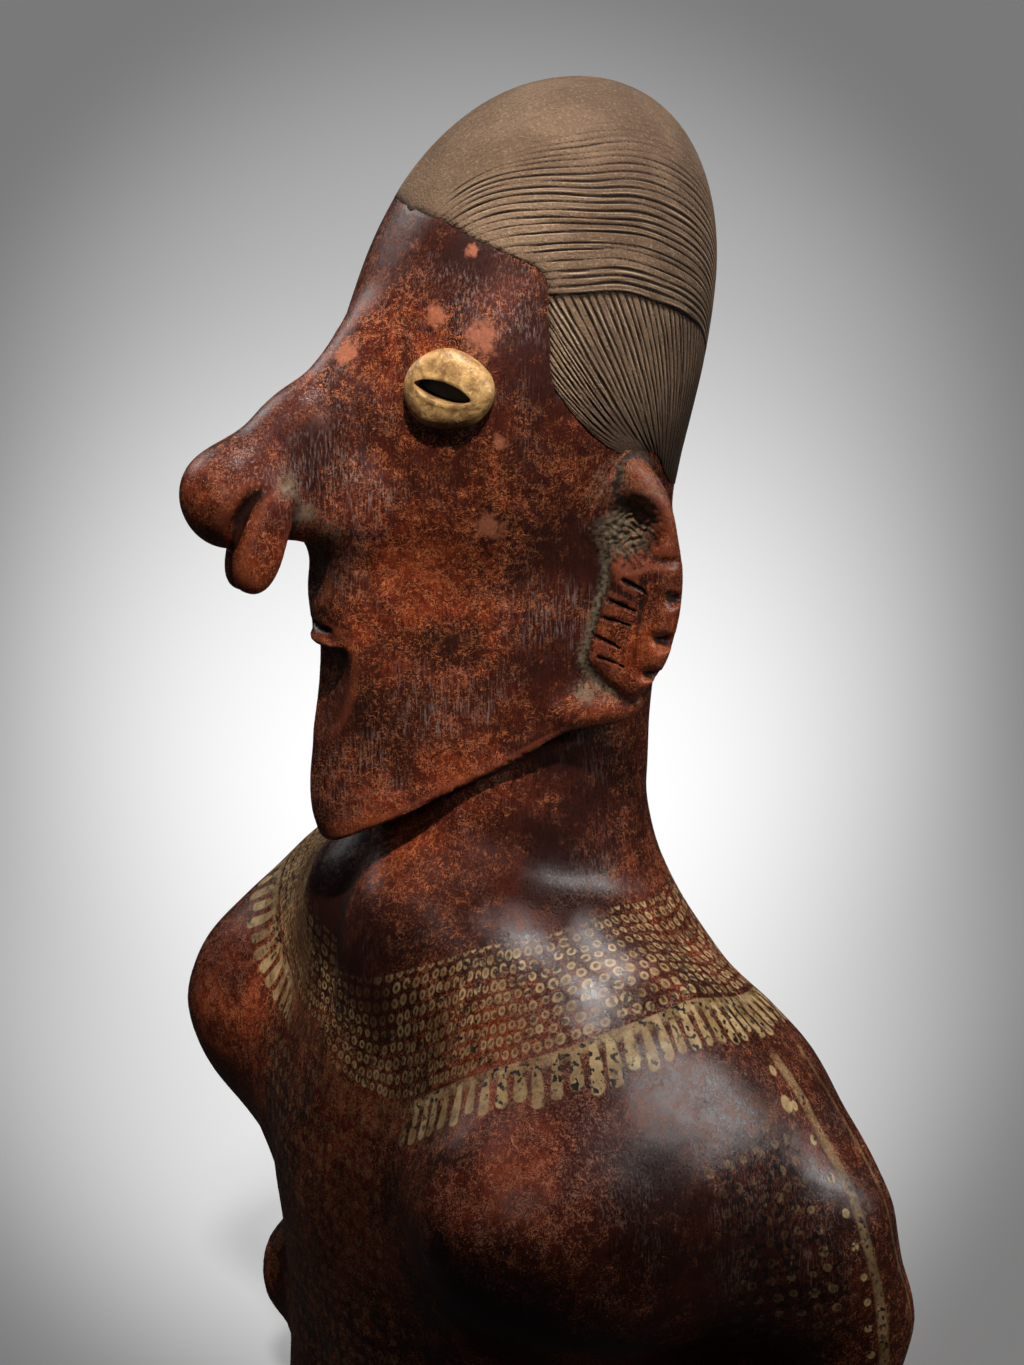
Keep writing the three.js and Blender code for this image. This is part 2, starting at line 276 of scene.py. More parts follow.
def outline_distance(v: Array, w: Array, corners: Sequence[tuple[float, float]], fine: int = 6) -> Array:
    """Distance to a smooth closed outline in a plane, negative inside.

    Args:
        v: First coordinate of the points.
        w: Second coordinate.
        corners: Points of the outline in order.
        fine: Pieces between two corners.

    Returns:
        The signed distance.
    """
    c = np.array(corners, float)
    t = np.linspace(0, 1, fine, endpoint=False)[None, :, None]
    a, b, d, e = (np.roll(c, k, axis=0)[:, None] for k in (1, 0, -1, -2))
    curve = 0.5 * (2 * b + (d - a) * t + (2 * a - 5 * b + 4 * d - e) * t**2 + (3 * b - a - 3 * d + e) * t**3)
    curve = curve.reshape(-1, 2)
    after = np.roll(curve, -1, axis=0)
    best = np.full(v.shape, 1e9)
    crossed = np.zeros(v.shape, bool)
    for (v0, w0), (v1, w1) in zip(curve, after):
        dv, dw = v1 - v0, w1 - w0
        share = np.clip(((v - v0) * dv + (w - w0) * dw) / (dv * dv + dw * dw), 0, 1)
        best = np.minimum(best, (v - v0 - share * dv) ** 2 + (w - w0 - share * dw) ** 2)
        if w0 != w1:
            crossed ^= ((w0 > w) != (w1 > w)) & (v < v0 + (w - w0) * dv / (w1 - w0))
    return np.sqrt(best) * np.where(crossed, -1, 1)


@dataclass(frozen=True)
class HeadForm:
    """The head: a leaning cranium, a face drawn to a narrow front, a long nose and a crisp jaw."""

    cranium: Point = (0.0, 3.8, 315.0)
    cranium_radii: Point = (43.0, 46.1, 64.0)
    cranium_power: float = 2.14
    lean: float = 0.22
    # The face's front, as y against height, and the radius of its rounding against height.
    face_front: Curve = (
        (184, -51.2), (188, -53.4), (194, -56.0), (203, -56.7), (213, -55.4), (228, -54.2), (244, -55.0),
        (259, -56.5), (290, -51.4), (317, -43.2), (345, -35))
    face_round: Curve = (
        (187, 9), (203, 10.5), (216, 13.5), (230, 15.5), (243, 14), (258, 11.5), (270, 11), (330, 15))
    face_back: float = 4.0
    face_back_radius: float = 38.0
    face_top: float = 330.0
    face_top_reach: float = 30.0
    crown_reach: float = 12.0
    jaw: Point = (0.0, -52.0, 187.4)
    jaw_slope: float = 34.0
    foot: float = 172.0
    # The nose's root, bend and tip, the foot of its sides, and the radius at each.
    nose: tuple[Point, Point, Point] = ((0.0, -35.0, 316.0), (0.0, -57.7, 295.6), (0.0, -76.9, 282.2))
    nose_radii: Point = (9.3, 11.0, 11.3)
    nose_foot: Point = (0.0, -40.0, 279.0)
    nose_foot_radius: float = 16.0
    # What is hollowed under the nose and at the mouth, the ledge of the lip and the line over it.
    under_nose: Point = (0.0, -65.0, 261.0)
    under_nose_radii: Point = (9.5, 11.0, 12.0)
    mouth: Point = (0.0, -55.6, 228.5)
    mouth_radii: Point = (12.4, 5.4, 14.0)
    mouth_lean: float = 0.26
    lip: Point = (0.0, -49.6, 241.4)
    lip_radii: Point = (8.4, 5.9, 2.2)
    lip_line: Point = (0.0, -56.8, 245.2)
    lip_line_radii: Point = (6.4, 6.2, 0.9)
    near_wing: Point = (10.6, -72.8, 273.6)
    far_wing: Point = (-6.6, -68.4, 269.0)
    wing_radii: Point = (5.2, 6.4, 14.6)
    wing_tilt: float = -18.0
    wing_groove: Point = (14.6, -79.0, 277.5)
    wing_groove_radii: Point = (4.6, 3.4, 10.0)
    wing_groove_tilt: float = -25.0
    jowl: Point = (37.4, 7.0, 226.2)
    jowl_radii: Point = (5.4, 12.2, 5.2)

    def face_plan(self, x: Array, y: Array, z: Array) -> Array:
        """Distance to the face's plan: a small circle in front, a large one behind, straight sides between.

        Args:
            x: Places across.
            y: Places from front to back.
            z: Heights.

        Returns:
            The distance.
        """
        front = along(self.face_front, z)
        radius = along(self.face_round, z)
        length = self.face_back - (front + radius)
        u = np.abs(x)
        v = y - (front + radius)
        b = np.clip((radius - self.face_back_radius) / np.maximum(length, 1e-3), -0.95, 0.95)
        a = np.sqrt(1 - b * b)
        k = -b * u + a * v
        ahead = np.hypot(u, v) - radius
        behind = np.hypot(u, v - length) - self.face_back_radius
        return np.where(k < 0, ahead, np.where(k > a * length, behind, a * u + b * v - radius))

    def skull(self, p: Triple) -> Array:
        """The head without nose, mouth, ears and jaw cut.

        Args:
            p: The points.

        Returns:
            The distance.
        """
        x, y, z = p
        lean = self.lean * (z - self.cranium[2])
        cranium = full_ellipsoid((x, y - lean, z), self.cranium, self.cranium_radii, self.cranium_power)
        face = common(self.face_plan(x, y, z), z - self.face_top, self.face_top_reach)
        return join(cranium, face, self.crown_reach)

    def above_jaw(self, p: Triple) -> Array:
        """Height above the jaw's slanting edge, square to it."""
        slope = math.radians(self.jaw_slope)
        return (p[2] - self.jaw[2]) * math.cos(slope) - (p[1] - self.jaw[1]) * math.sin(slope)

    def field(self, p: Triple) -> Array:
        """Distance to the head down to the jaw's edge.

        Args:
            p: The points.

        Returns:
            The distance.
        """
        side = mirrored(p)
        root, bend, tip = self.nose
        root_radius, bend_radius, tip_radius = self.nose_radii
        ridge = join(taper(p, root, bend, root_radius, bend_radius),
                     taper(p, bend, tip, bend_radius, tip_radius), 6)
        sides = taper(p, self.nose_foot, tip, self.nose_foot_radius, tip_radius)
        head = join(self.skull(p), join(ridge, sides, 8.2), 9)
        head = common(head, -ellipsoid(p, self.under_nose, self.under_nose_radii), 3)
        sheared = (p[0], p[1] - self.mouth_lean * (p[2] - 229), p[2])
        head = common(head, -full_ellipsoid(sheared, self.mouth, self.mouth_radii, 2.3), 4.0)
        groove = turned(side, self.wing_groove, 0, self.wing_groove_tilt)
        head = common(head, -ellipsoid(groove, self.wing_groove, self.wing_groove_radii), 2.5)
        for centre in (self.near_wing, self.far_wing):
            wing = full_ellipsoid(turned(p, centre, 0, self.wing_tilt), centre, self.wing_radii, 2.5)
            head = join(head, wing, 1.5)
        head = join(head, ellipsoid(p, self.lip, self.lip_radii), 2.0)
        head = common(head, -ellipsoid(p, self.lip_line, self.lip_line_radii), 0.6)
        rise = self.above_jaw(p)
        head = head - 0.7 * np.exp(-((rise - 1.5) / 3.0) ** 2)
        head = common(head, -rise, 1.4)
        head = join(head, ellipsoid(turned(side, self.jowl, -8, 0), self.jowl, self.jowl_radii), 5.0)
        return np.maximum(head, self.foot - p[2])


@dataclass(frozen=True)
class BodyForm:
    """Neck, shoulders, arms and chest, down to the flat base."""

    foot: float = -12.0
    chest: Point = (0.0, 6.0, 58.0)
    chest_radii: Point = (44.0, 55.7, 60.3)
    trunk: Point = (0.0, 5.4, 60.0)
    trunk_radii: Point = (66.0, 61.0, 98.1)
    shoulder: Point = (62.4, 4.7, 107.1)
    shoulder_radii: Point = (46.0, 69.4, 50.0)
    shoulder_turn: tuple[float, float] = (20.0, -4.2)
    # Each arm from the shoulder over the elbow to below the cut, with its radii.
    arm: tuple[Point, Point, Point] = ((76.0, 41.4, 89.5), (85.0, 56.9, 66.2), (83.0, 44.0, -20.0))
    arm_radii: Point = (30.0, 16.0, 15.5)
    # Round-ended swellings from one point to another: the two ends and the radius at each.
    neck_root: tuple[Point, Point, float, float] = ((0.0, 2.0, 215.0), (0.0, -4.8, 100.0), 33.0, 44.2)
    neck: tuple[Point, Point, float, float] = ((0.0, 11.0, 265.0), (0.0, 3.5, 205.0), 32.0, 31.5)
    armpit: tuple[Point, Point, float, float] = ((46.0, -42.0, 92.0), (62.0, -14.0, 12.0), 9.0, 12.0)
    collar: tuple[Point, Point, float, float] = ((14.0, -32.8, 162.5), (60.0, -6.2, 140.9), 17.3, 27.9)
    throat: tuple[Point, Point, float, float] = ((0.0, -27.0, 180.0), (0.0, -42.0, 118.0), 8.0, 10.0)
    breast: Point = (50.0, -36.3, 38.9)
    breast_radii: Point = (16.0, 16.0, 18.0)

    def field(self, p: Triple) -> Array:
        """Distance to the body, past the base plane below.

        Args:
            p: The points.

        Returns:
            The distance.
        """
        side = mirrored(p)
        chest = self.straight_below(p, self.chest, self.chest_radii, 2.6)
        trunk = self.straight_below(p, self.trunk, self.trunk_radii, 2.8)
        yaw, pitch = self.shoulder_turn
        at_shoulder = turned(side, self.shoulder, yaw, pitch)
        shoulder = full_ellipsoid(at_shoulder, self.shoulder, self.shoulder_radii, 1.85)
        top, elbow, below = self.arm
        top_radius, elbow_radius, below_radius = self.arm_radii
        upper = taper(side, top, elbow, top_radius, elbow_radius)
        arm = join(upper, taper(side, elbow, below, elbow_radius, below_radius), 6)
        body = join(chest, trunk, 10)
        body = join(body, taper(p, *self.neck_root), 40)
        body = join(body, taper(p, *self.neck), 3)
        body = join(body, join(shoulder, arm, 14), 26)
        body = join(body, taper(side, *self.armpit), 8)
        body = join(body, taper(side, *self.collar), 20)
        body = join(body, taper(p, *self.throat), 12)
        body = join(body, ellipsoid(side, self.breast, self.breast_radii), 6)
        return np.maximum(body, self.foot - p[2])

    @staticmethod
    def straight_below(p: Triple, centre: Point, radii: Point, power: float) -> Array:
        """A full ellipsoid that runs straight down below its widest level."""
        return full_ellipsoid((p[0], p[1], np.maximum(p[2], centre[2])), centre, radii, power)


@dataclass(frozen=True)
class EarForm:
    """A standing ear: a hooded hollow above, a slashed panel below, notches in the outer edge."""

    centre: Point = (41.0, 14.5, 259.2)
    turn: float = 22.0
    # The ear's edge, measured back and up from the centre, in the ear's own plane.
    outline: Curve = (
        (-9.5, 29.5), (-5, 32.6), (0, 32.7), (3.8, 30), (8, 24.1), (10.2, 17.9), (11.6, 10.5), (12.7, 3),
        (12.5, -5), (11.4, -12), (9.2, -19.8), (6.2, -25.2), (2.6, -29.2), (-0.8, -31), (-4.2, -29),
        (-8.6, -25.6), (-12.6, -19.5), (-11, -12.4), (-8.9, -5.8), (-6.9, 1.5), (-7.2, 8.5), (-9.4, 16),
        (-10.8, 23))
    # The hollow's place back and up, and its half sizes.
    hollow: tuple[float, float, float, float] = (-2.9, 14.2, 11.2, 10.4)
    # Each slash from front to back, with its greatest half width.
    slashes: tuple[tuple[float, float, float, float, float], ...] = (
        (-2.8, 1.6, 3.0, -1.9, 0.8), (-6.4, -4.1, 0.1, -6.4, 0.85), (-7.7, -8.7, -0.9, -10.2, 0.6),
        (-9.7, -13.6, -3.3, -16.4, 0.75), (-8.9, -18.8, -2.6, -21.2, 0.45))
    # Inner end of each notch.
    notches: Curve = ((9.5, -3.6), (6.2, -14.5), (3.7, -23.8))

    def local(self, p: Triple) -> Triple:
        """The points in the ear's own frame: out of the head, back and up."""
        ex, ey, ez = turned(p, self.centre, -self.turn)
        return ex - self.centre[0], ey - self.centre[1], ez - self.centre[2]

    def in_hollow(self, v: Array, w: Array) -> Array:
        """Share of the hollow's depth at a place in the ear's plane.

        Args:
            v: Places back from the ear's centre.
            w: Places up from it.

        Returns:
            The share, 0 to 1.
        """
        back, up, rv, rw = self.hollow
        reach = np.sqrt(((v - back) / rv) ** 2 + ((w - up) / rw) ** 2)
        return 1 - step(reach, 0.35, 1.12)

    def height(self, v: Array, w: Array) -> Array:
        """How far the ear's outer face stands out at a place in its plane.

        Args:
            v: Places back from the ear's centre.
            w: Places up from it.

        Returns:
            The height.
        """
        rise = 5.0 + 0.16 * np.clip(v, -14, 0) + 0.9 * bell(v, 7.4, 3.4) * step(w, 7.5, 4.5)
        rise = rise - 3.6 * step(v, 4, -8) * step(w, 8, 20)
        rise = rise - 0.75 * bell(w + 0.15 * v, 7.6, 1.1) * step(v, 2, 6)
        rise = rise - 0.55 * bell(v - 0.1 * w, 1.9, 1.3) * step(w, 4, 0)
        rough = np.sin(v * 1.9 + 2 * np.sin(w * 0.9)) * np.sin(w * 2.3 + 1.5 * np.sin(v * 1.1))
        rise = rise - (5.8 + 0.9 * rough - 2.6 * step(v, 2, -8) * step(w, 8, 20)) * self.in_hollow(v, w)
        for v0, w0, v1, w1, half in self.slashes:
            dv, dw = v1 - v0, w1 - w0
            length = math.hypot(dv, dw)
            share = np.clip(((v - v0) * dv + (w - w0) * dw) / length**2, 0, 1)
            off = np.hypot(v - v0 - share * dv, w - w0 - share * dw - 0.35 * np.sin(share * 3.14))
            wide = half * np.clip(1.25 - share, 0.15, 1)
            rise = rise - 1.05 * step(off, wide * 0.75 + 0.3, wide * 0.2)
        return rise

    def field(self, p: Triple) -> Array:
        """Distance to the left ear.

        Args:
            p: The points.

        Returns:
            The distance.
        """
        q, v, w = self.local(p)
        edge = outline_distance(v, w, self.outline)
        for v0, w0 in self.notches:
            out, off = v - v0, w - w0 + 0.2 * (v - v0)
            wedge = np.where(out < 0, np.hypot(out, off), np.abs(off) * 0.95 - out * 0.31)
            edge = np.maximum(edge, -np.maximum(wedge, 0.6 - q))
        plate = common(edge, (q - self.height(v, w)) * 0.8, 4.6)
        back = q + 3.2 + 0.12 * np.clip(-v, 0, 20) + 3.0 * step(v, 9.5, 5.5)
        return common(plate, -back, 3.0)

    def dirt(self, p: Triple) -> Array:
        """How much dust lies at a point: in the hollow, on the hood and along the foot of the panel's front.

        Args:
            p: The points.

        Returns:
            The dust, 0 to 1.
        """
        q, v, w = self.local(p)
        edge = outline_distance(v, w, self.outline)
        crease = bell(edge, 0.4, 2.0) * step(v, -2, -5) * step(w, 14, 6)
        hood = 0.55 * step(w, 14, 24) * step(edge, 4, 0)
        near = step(np.abs(q), 12, 8) * step(edge, 5, 2)
        return np.maximum(np.maximum(0.85 * self.in_hollow(v, w), 0.8 * crease), hood) * near

    def patch(self, p: Triple, head: Field) -> Array:
        """The ear with the skin around it, which it grows out of.

        Args:
            p: The points.
            head: Distance to the head.

        Returns:
            The distance.
        """
        q, v, w = self.local(p)
        reach = 2.6 + 6.0 * step(w, 4, 18) * step(v, 6, -6)
        grown = join(self.field(p), head(p) + 0.12, reach)
        region = ellipsoid((q, v, w), (-3.0, 0.0, 0.5), (11.0, 19.0, 39.0))
        return np.maximum(grown, region)


def levels(*stretches: tuple[float, float, float]) -> Array:
    """Grid levels along one axis.

    Args:
        stretches: From, to and cell of each stretch, in order.

    Returns:
        The levels, each stretch in equal cells no wider than asked.
    """
    parts = []
    for start, end, cell in stretches:
        count = max(int(math.ceil((end - start) / cell)), 1)
        parts.append(np.linspace(start, end, count, endpoint=False))
    return np.concatenate([*parts, [stretches[-1][1]]])


def slope(field: Field, points: Array) -> Array:
    """The field's gradient at the points.

    Args:
        field: The distance.
        points: Rows of x, y, z.

    Returns:
        The gradient at each point.
    """
    rows = []
    for axis in range(3):
        there = [points[:, i] + (PROBE if i == axis else 0.0) for i in range(3)]
        back = [points[:, i] - (PROBE if i == axis else 0.0) for i in range(3)]
        rows.append((field(tuple(there)) - field(tuple(back))) / (2 * PROBE))
    return np.stack(rows, 1)


def settle(field: Field, points: Array, level: float, limit: Array, turns: int = 3) -> Array:
    """Moves points onto the surface along the steepest way.

    Args:
        field: The distance.
        points: Rows of x, y, z.
        level: The field value to reach.
        limit: Furthest that each point may move.
        turns: Number of steps.

    Returns:
        The settled points.
    """
    start = points.copy()
    moved = points.copy()
    for _ in range(turns):
        gradient = slope(field, moved)
        steep = np.maximum((gradient**2).sum(1), 0.25)
        value = field((moved[:, 0], moved[:, 1], moved[:, 2])) - level
        moved -= gradient * (value / steep)[:, None]
    shift = moved - start
    length = np.linalg.norm(shift, axis=1)
    return start + shift * np.minimum(1.0, limit / np.maximum(length, 1e-9))[:, None]


def skin(field: Field, xs: Array, ys: Array, zs: Array, level: float) -> tuple[Array, Array]:
    """Surface nets over a grid: a vertex in each crossed cell, a quad across each crossed edge.

    Args:
        field: The distance.
        xs: Grid levels along X.
        ys: Grid levels along Y.
        zs: Grid levels along Z.
        level: The field value of the surface.

    Returns:
        Points and triangles.
    """
    grid = np.meshgrid(xs, ys, zs, indexing="ij")
    values = field(tuple(grid)) - level
    inside = values < 0
    nx, ny, nz = values.shape
    offsets = np.array([[a, b, c] for a in (0, 1) for b in (0, 1) for c in (0, 1)])
    count = sum(inside[a:nx - 1 + a, b:ny - 1 + b, c:nz - 1 + c].astype(int) for a, b, c in offsets)
    cells = np.argwhere((count > 0) & (count < 8))
    number = np.full((nx - 1, ny - 1, nz - 1), -1, int)
    number[tuple(cells.T)] = np.arange(len(cells))
    corners = cells[:, None, :] + offsets[None]
    at = values[corners[..., 0], corners[..., 1], corners[..., 2]]
    place = np.stack([xs[corners[..., 0]], ys[corners[..., 1]], zs[corners[..., 2]]], -1)
    total = np.zeros((len(cells), 3))
    crossings = np.zeros(len(cells))
    for i in range(8):
        for j in range(i + 1, 8):
            if abs(offsets[i] - offsets[j]).sum() != 1:
                continue
            crossed = (at[:, i] < 0) != (at[:, j] < 0)
            t = np.where(crossed, at[:, i] / np.where(crossed, at[:, i] - at[:, j], 1.0), 0.0)
            point = place[:, i] + (place[:, j] - place[:, i]) * t[:, None]
            total += np.where(crossed[:, None], point, 0.0)
            crossings += crossed
    points = total / crossings[:, None]
    cell = np.minimum(np.minimum(np.diff(xs)[cells[:, 0]], np.diff(ys)[cells[:, 1]]),
                      np.diff(zs)[cells[:, 2]])
    points = settle(field, points, level, cell * 0.45)
    quads = []
    rings = {
        0: ((0, -1, -1), (0, 0, -1), (0, 0, 0), (0, -1, 0)),
        1: ((-1, 0, -1), (-1, 0, 0), (0, 0, 0), (0, 0, -1)),
        2: ((-1, -1, 0), (0, -1, 0), (0, 0, 0), (-1, 0, 0)),
    }
    for axis, ring in rings.items():
        near = [slice(1, n - 1) for n in (nx, ny, nz)]
        far = list(near)
        far[axis] = slice(2, (nx, ny, nz)[axis])
        a, b = inside[tuple(near)], inside[tuple(far)]
        edges = np.argwhere(a != b) + 1
        out = inside[edges[:, 0], edges[:, 1], edges[:, 2]]
        quad = np.stack([number[tuple((edges + np.array(corner)).T)] for corner in ring], 1)
        quads.append(np.where(out[:, None], quad, quad[:, ::-1]))
    quads = np.concatenate(quads)
    a, b, c, d = (points[quads[:, i]] for i in range(4))
    short = ((a - c) ** 2).sum(1) < ((b - d) ** 2).sum(1)
    first = np.where(short[:, None], quads[:, [0, 1, 2]], quads[:, [0, 1, 3]])
    second = np.where(short[:, None], quads[:, [0, 2, 3]], quads[:, [1, 2, 3]])
    return points, np.concatenate([first, second])


def to_frame(points: Array) -> Array:
    """Points of the form in the frame's metres."""
    return (points + np.array([0.0, MIDDLE_SHIFT, 0.0])) * MM


def make_object(name: str, points: Array, faces: Array) -> bpy.types.Object:
    """A mesh object with its place in its mesh.

    Args:
        name: The object's name.
        points: Vertices in metres.
        faces: Triangles or quads, counter-clockwise from outside.

    Returns:
        The linked object.
    """
    mesh = bpy.data.meshes.new(name)
    mesh.vertices.add(len(points))
    mesh.vertices.foreach_set("co", np.asarray(points, np.float32).ravel())
    corners = faces.shape[1]
    mesh.loops.add(faces.size)
    mesh.loops.foreach_set("vertex_index", faces.astype(np.int32).ravel())
    mesh.polygons.add(len(faces))
    mesh.polygons.foreach_set("loop_start", np.arange(len(faces), dtype=np.int32) * corners)
    mesh.update(calc_edges=True)
    mesh.validate()
    piece = bpy.data.objects.new(name, mesh)
    bpy.context.scene.collection.objects.link(piece)
    return piece


def store(piece: bpy.types.Object, values: dict[str, Array]) -> None:
    """Writes numbers onto a mesh's vertices, for its material to read.

    Args:
        piece: The piece.
        values: One array for each attribute's name.
    """
    for name, value in values.items():
        attribute = piece.data.attributes.new(name, "FLOAT", "POINT")
        attribute.data.foreach_set("value", np.asarray(value, np.float32))


def only(piece: bpy.types.Object) -> None:
    """Selects one object and makes it active.

    Args:
        piece: The object.
    """
    bpy.ops.object.select_all(action="DESELECT")
    piece.select_set(True)
    bpy.context.view_layer.objects.active = piece


def combine(piece: bpy.types.Object, other: bpy.types.Object, how: Cut) -> None:
    """Applies a boolean of another object to a piece and removes the other.

    Args:
        piece: The piece that is changed.
        other: The tool object.
        how: Whether the other is joined on or taken off.
    """
    only(piece)
    cut = piece.modifiers.new("combine", "BOOLEAN")
    cut.object = other
    cut.operation = how.value
    cut.solver = "MANIFOLD"
    bpy.ops.object.modifier_apply(modifier=cut.name)
    bpy.data.objects.remove(other, do_unlink=True)


def smooth(piece: bpy.types.Object, angle: float) -> None:
    """Smooth shading, with edges sharper than an angle in degrees left crisp."""
    only(piece)
    bpy.ops.object.shade_smooth_by_angle(angle=math.radians(angle))


@dataclass(frozen=True)
class Bust:
    """The whole fired form without hair and eyes."""

    head: HeadForm = HeadForm()
    body: BodyForm = BodyForm()
    ear: EarForm = EarForm()
    # Cell of the skin where it is finest, and how much wider it is elsewhere on the head.
    head_cell: float = 0.9
    head_wider: float = 1.8
    body_cell: float = 2.8
    ear_cell: float = 0.72
    head_waves: float = 0.12
    # Metres: a block as wide as this is taken off below the flat cut.
    block: float = 0.4
    block_height: float = 0.1

    def head_field(self, p: Triple, hair: "Hair") -> Array:
        """Distance to the head, sunk under the hair."""
        return self.head.field(p) + hair.ground_drop(p) + uneven(p, self.head_waves)

    def body_field(self, p: Triple) -> Array:
        """Distance to the body with the hand's waviness."""
        return self.body.field(p) + uneven(p)

    def head_skin(self, hair: "Hair") -> bpy.types.Object:
        """The head's mesh, finest at the face and jaw.

        Args:
            hair: The hair, whose ground lies a little lower.

        Returns:
            The head.
        """
        fine, wide = self.head_cell, self.head_cell * self.head_wider
        xs = levels((-56, -22, wide), (-22, 22, fine), (22, 56, wide))
        ys = levels((-96, -40, fine), (-40, 66, wide))
        zs = levels((168, 300, fine * 1.15), (300, 384, fine * 2))
        points, faces = skin(lambda p: self.head_field(p, hair), xs, ys, zs, -SLIP_DEPTH)
        LOG.info("head: %d triangles", len(faces))
        return make_object("bust", to_frame(points), faces)

    def body_skin(self) -> bpy.types.Object:
        """The body's mesh.

        Returns:
            The body.
        """
        cell = self.body_cell
        points, faces = skin(self.body_field, levels((-118, 118, cell)), levels((-72, 82, cell)),
                             levels((-16, 302, cell)), -SLIP_DEPTH)
        LOG.info("body: %d triangles", len(faces))
        return make_object("body", to_frame(points), faces)

    def ear_skin(self, hair: "Hair", side: Side) -> bpy.types.Object:
        """One ear's mesh with the skin around it.

        Args:
            hair: The hair, whose ground lies a little lower.
            side: Which ear.

        Returns:
            The ear.
        """
        sign, cell = side.value, self.ear_cell

        def patch_field(p: Triple) -> Array:
            """Distance to the left ear and the head beside it."""
            return self.ear.patch(p, lambda q: self.head_field((q[0] * sign, q[1], q[2]), hair))

        points, faces = skin(patch_field, levels((20, 58, cell)), levels((-9, 37, cell)),
                             levels((218, 300, cell * 0.8)), -SLIP_DEPTH)
        LOG.info("ear: %d triangles", len(faces))
        points = points * np.array([sign, 1, 1])
        return make_object("ear", to_frame(points), faces if side is Side.LEFT else faces[:, ::-1])

    def build(self, hair: "Hair") -> bpy.types.Object:
        """Builds the joined mesh, cut flat below.

        Args:
            hair: The hair, which gives the ground that lies under it.

        Returns:
            The bust.
        """
        bust = self.head_skin(hair)
        combine(bust, self.body_skin(), Cut.JOINED)
        for side in Side:
            combine(bust, self.ear_skin(hair, side), Cut.JOINED)
        bpy.ops.mesh.primitive_cube_add(size=1.0, location=(0, 0, -self.block_height / 2))
        block = bpy.context.active_object
        block.dimensions = (self.block, self.block, self.block_height)
        bpy.ops.object.transform_apply(location=True, rotation=True, scale=True)
        combine(bust, block, Cut.TAKEN_OFF)
        smooth(bust, 50)
        return bust


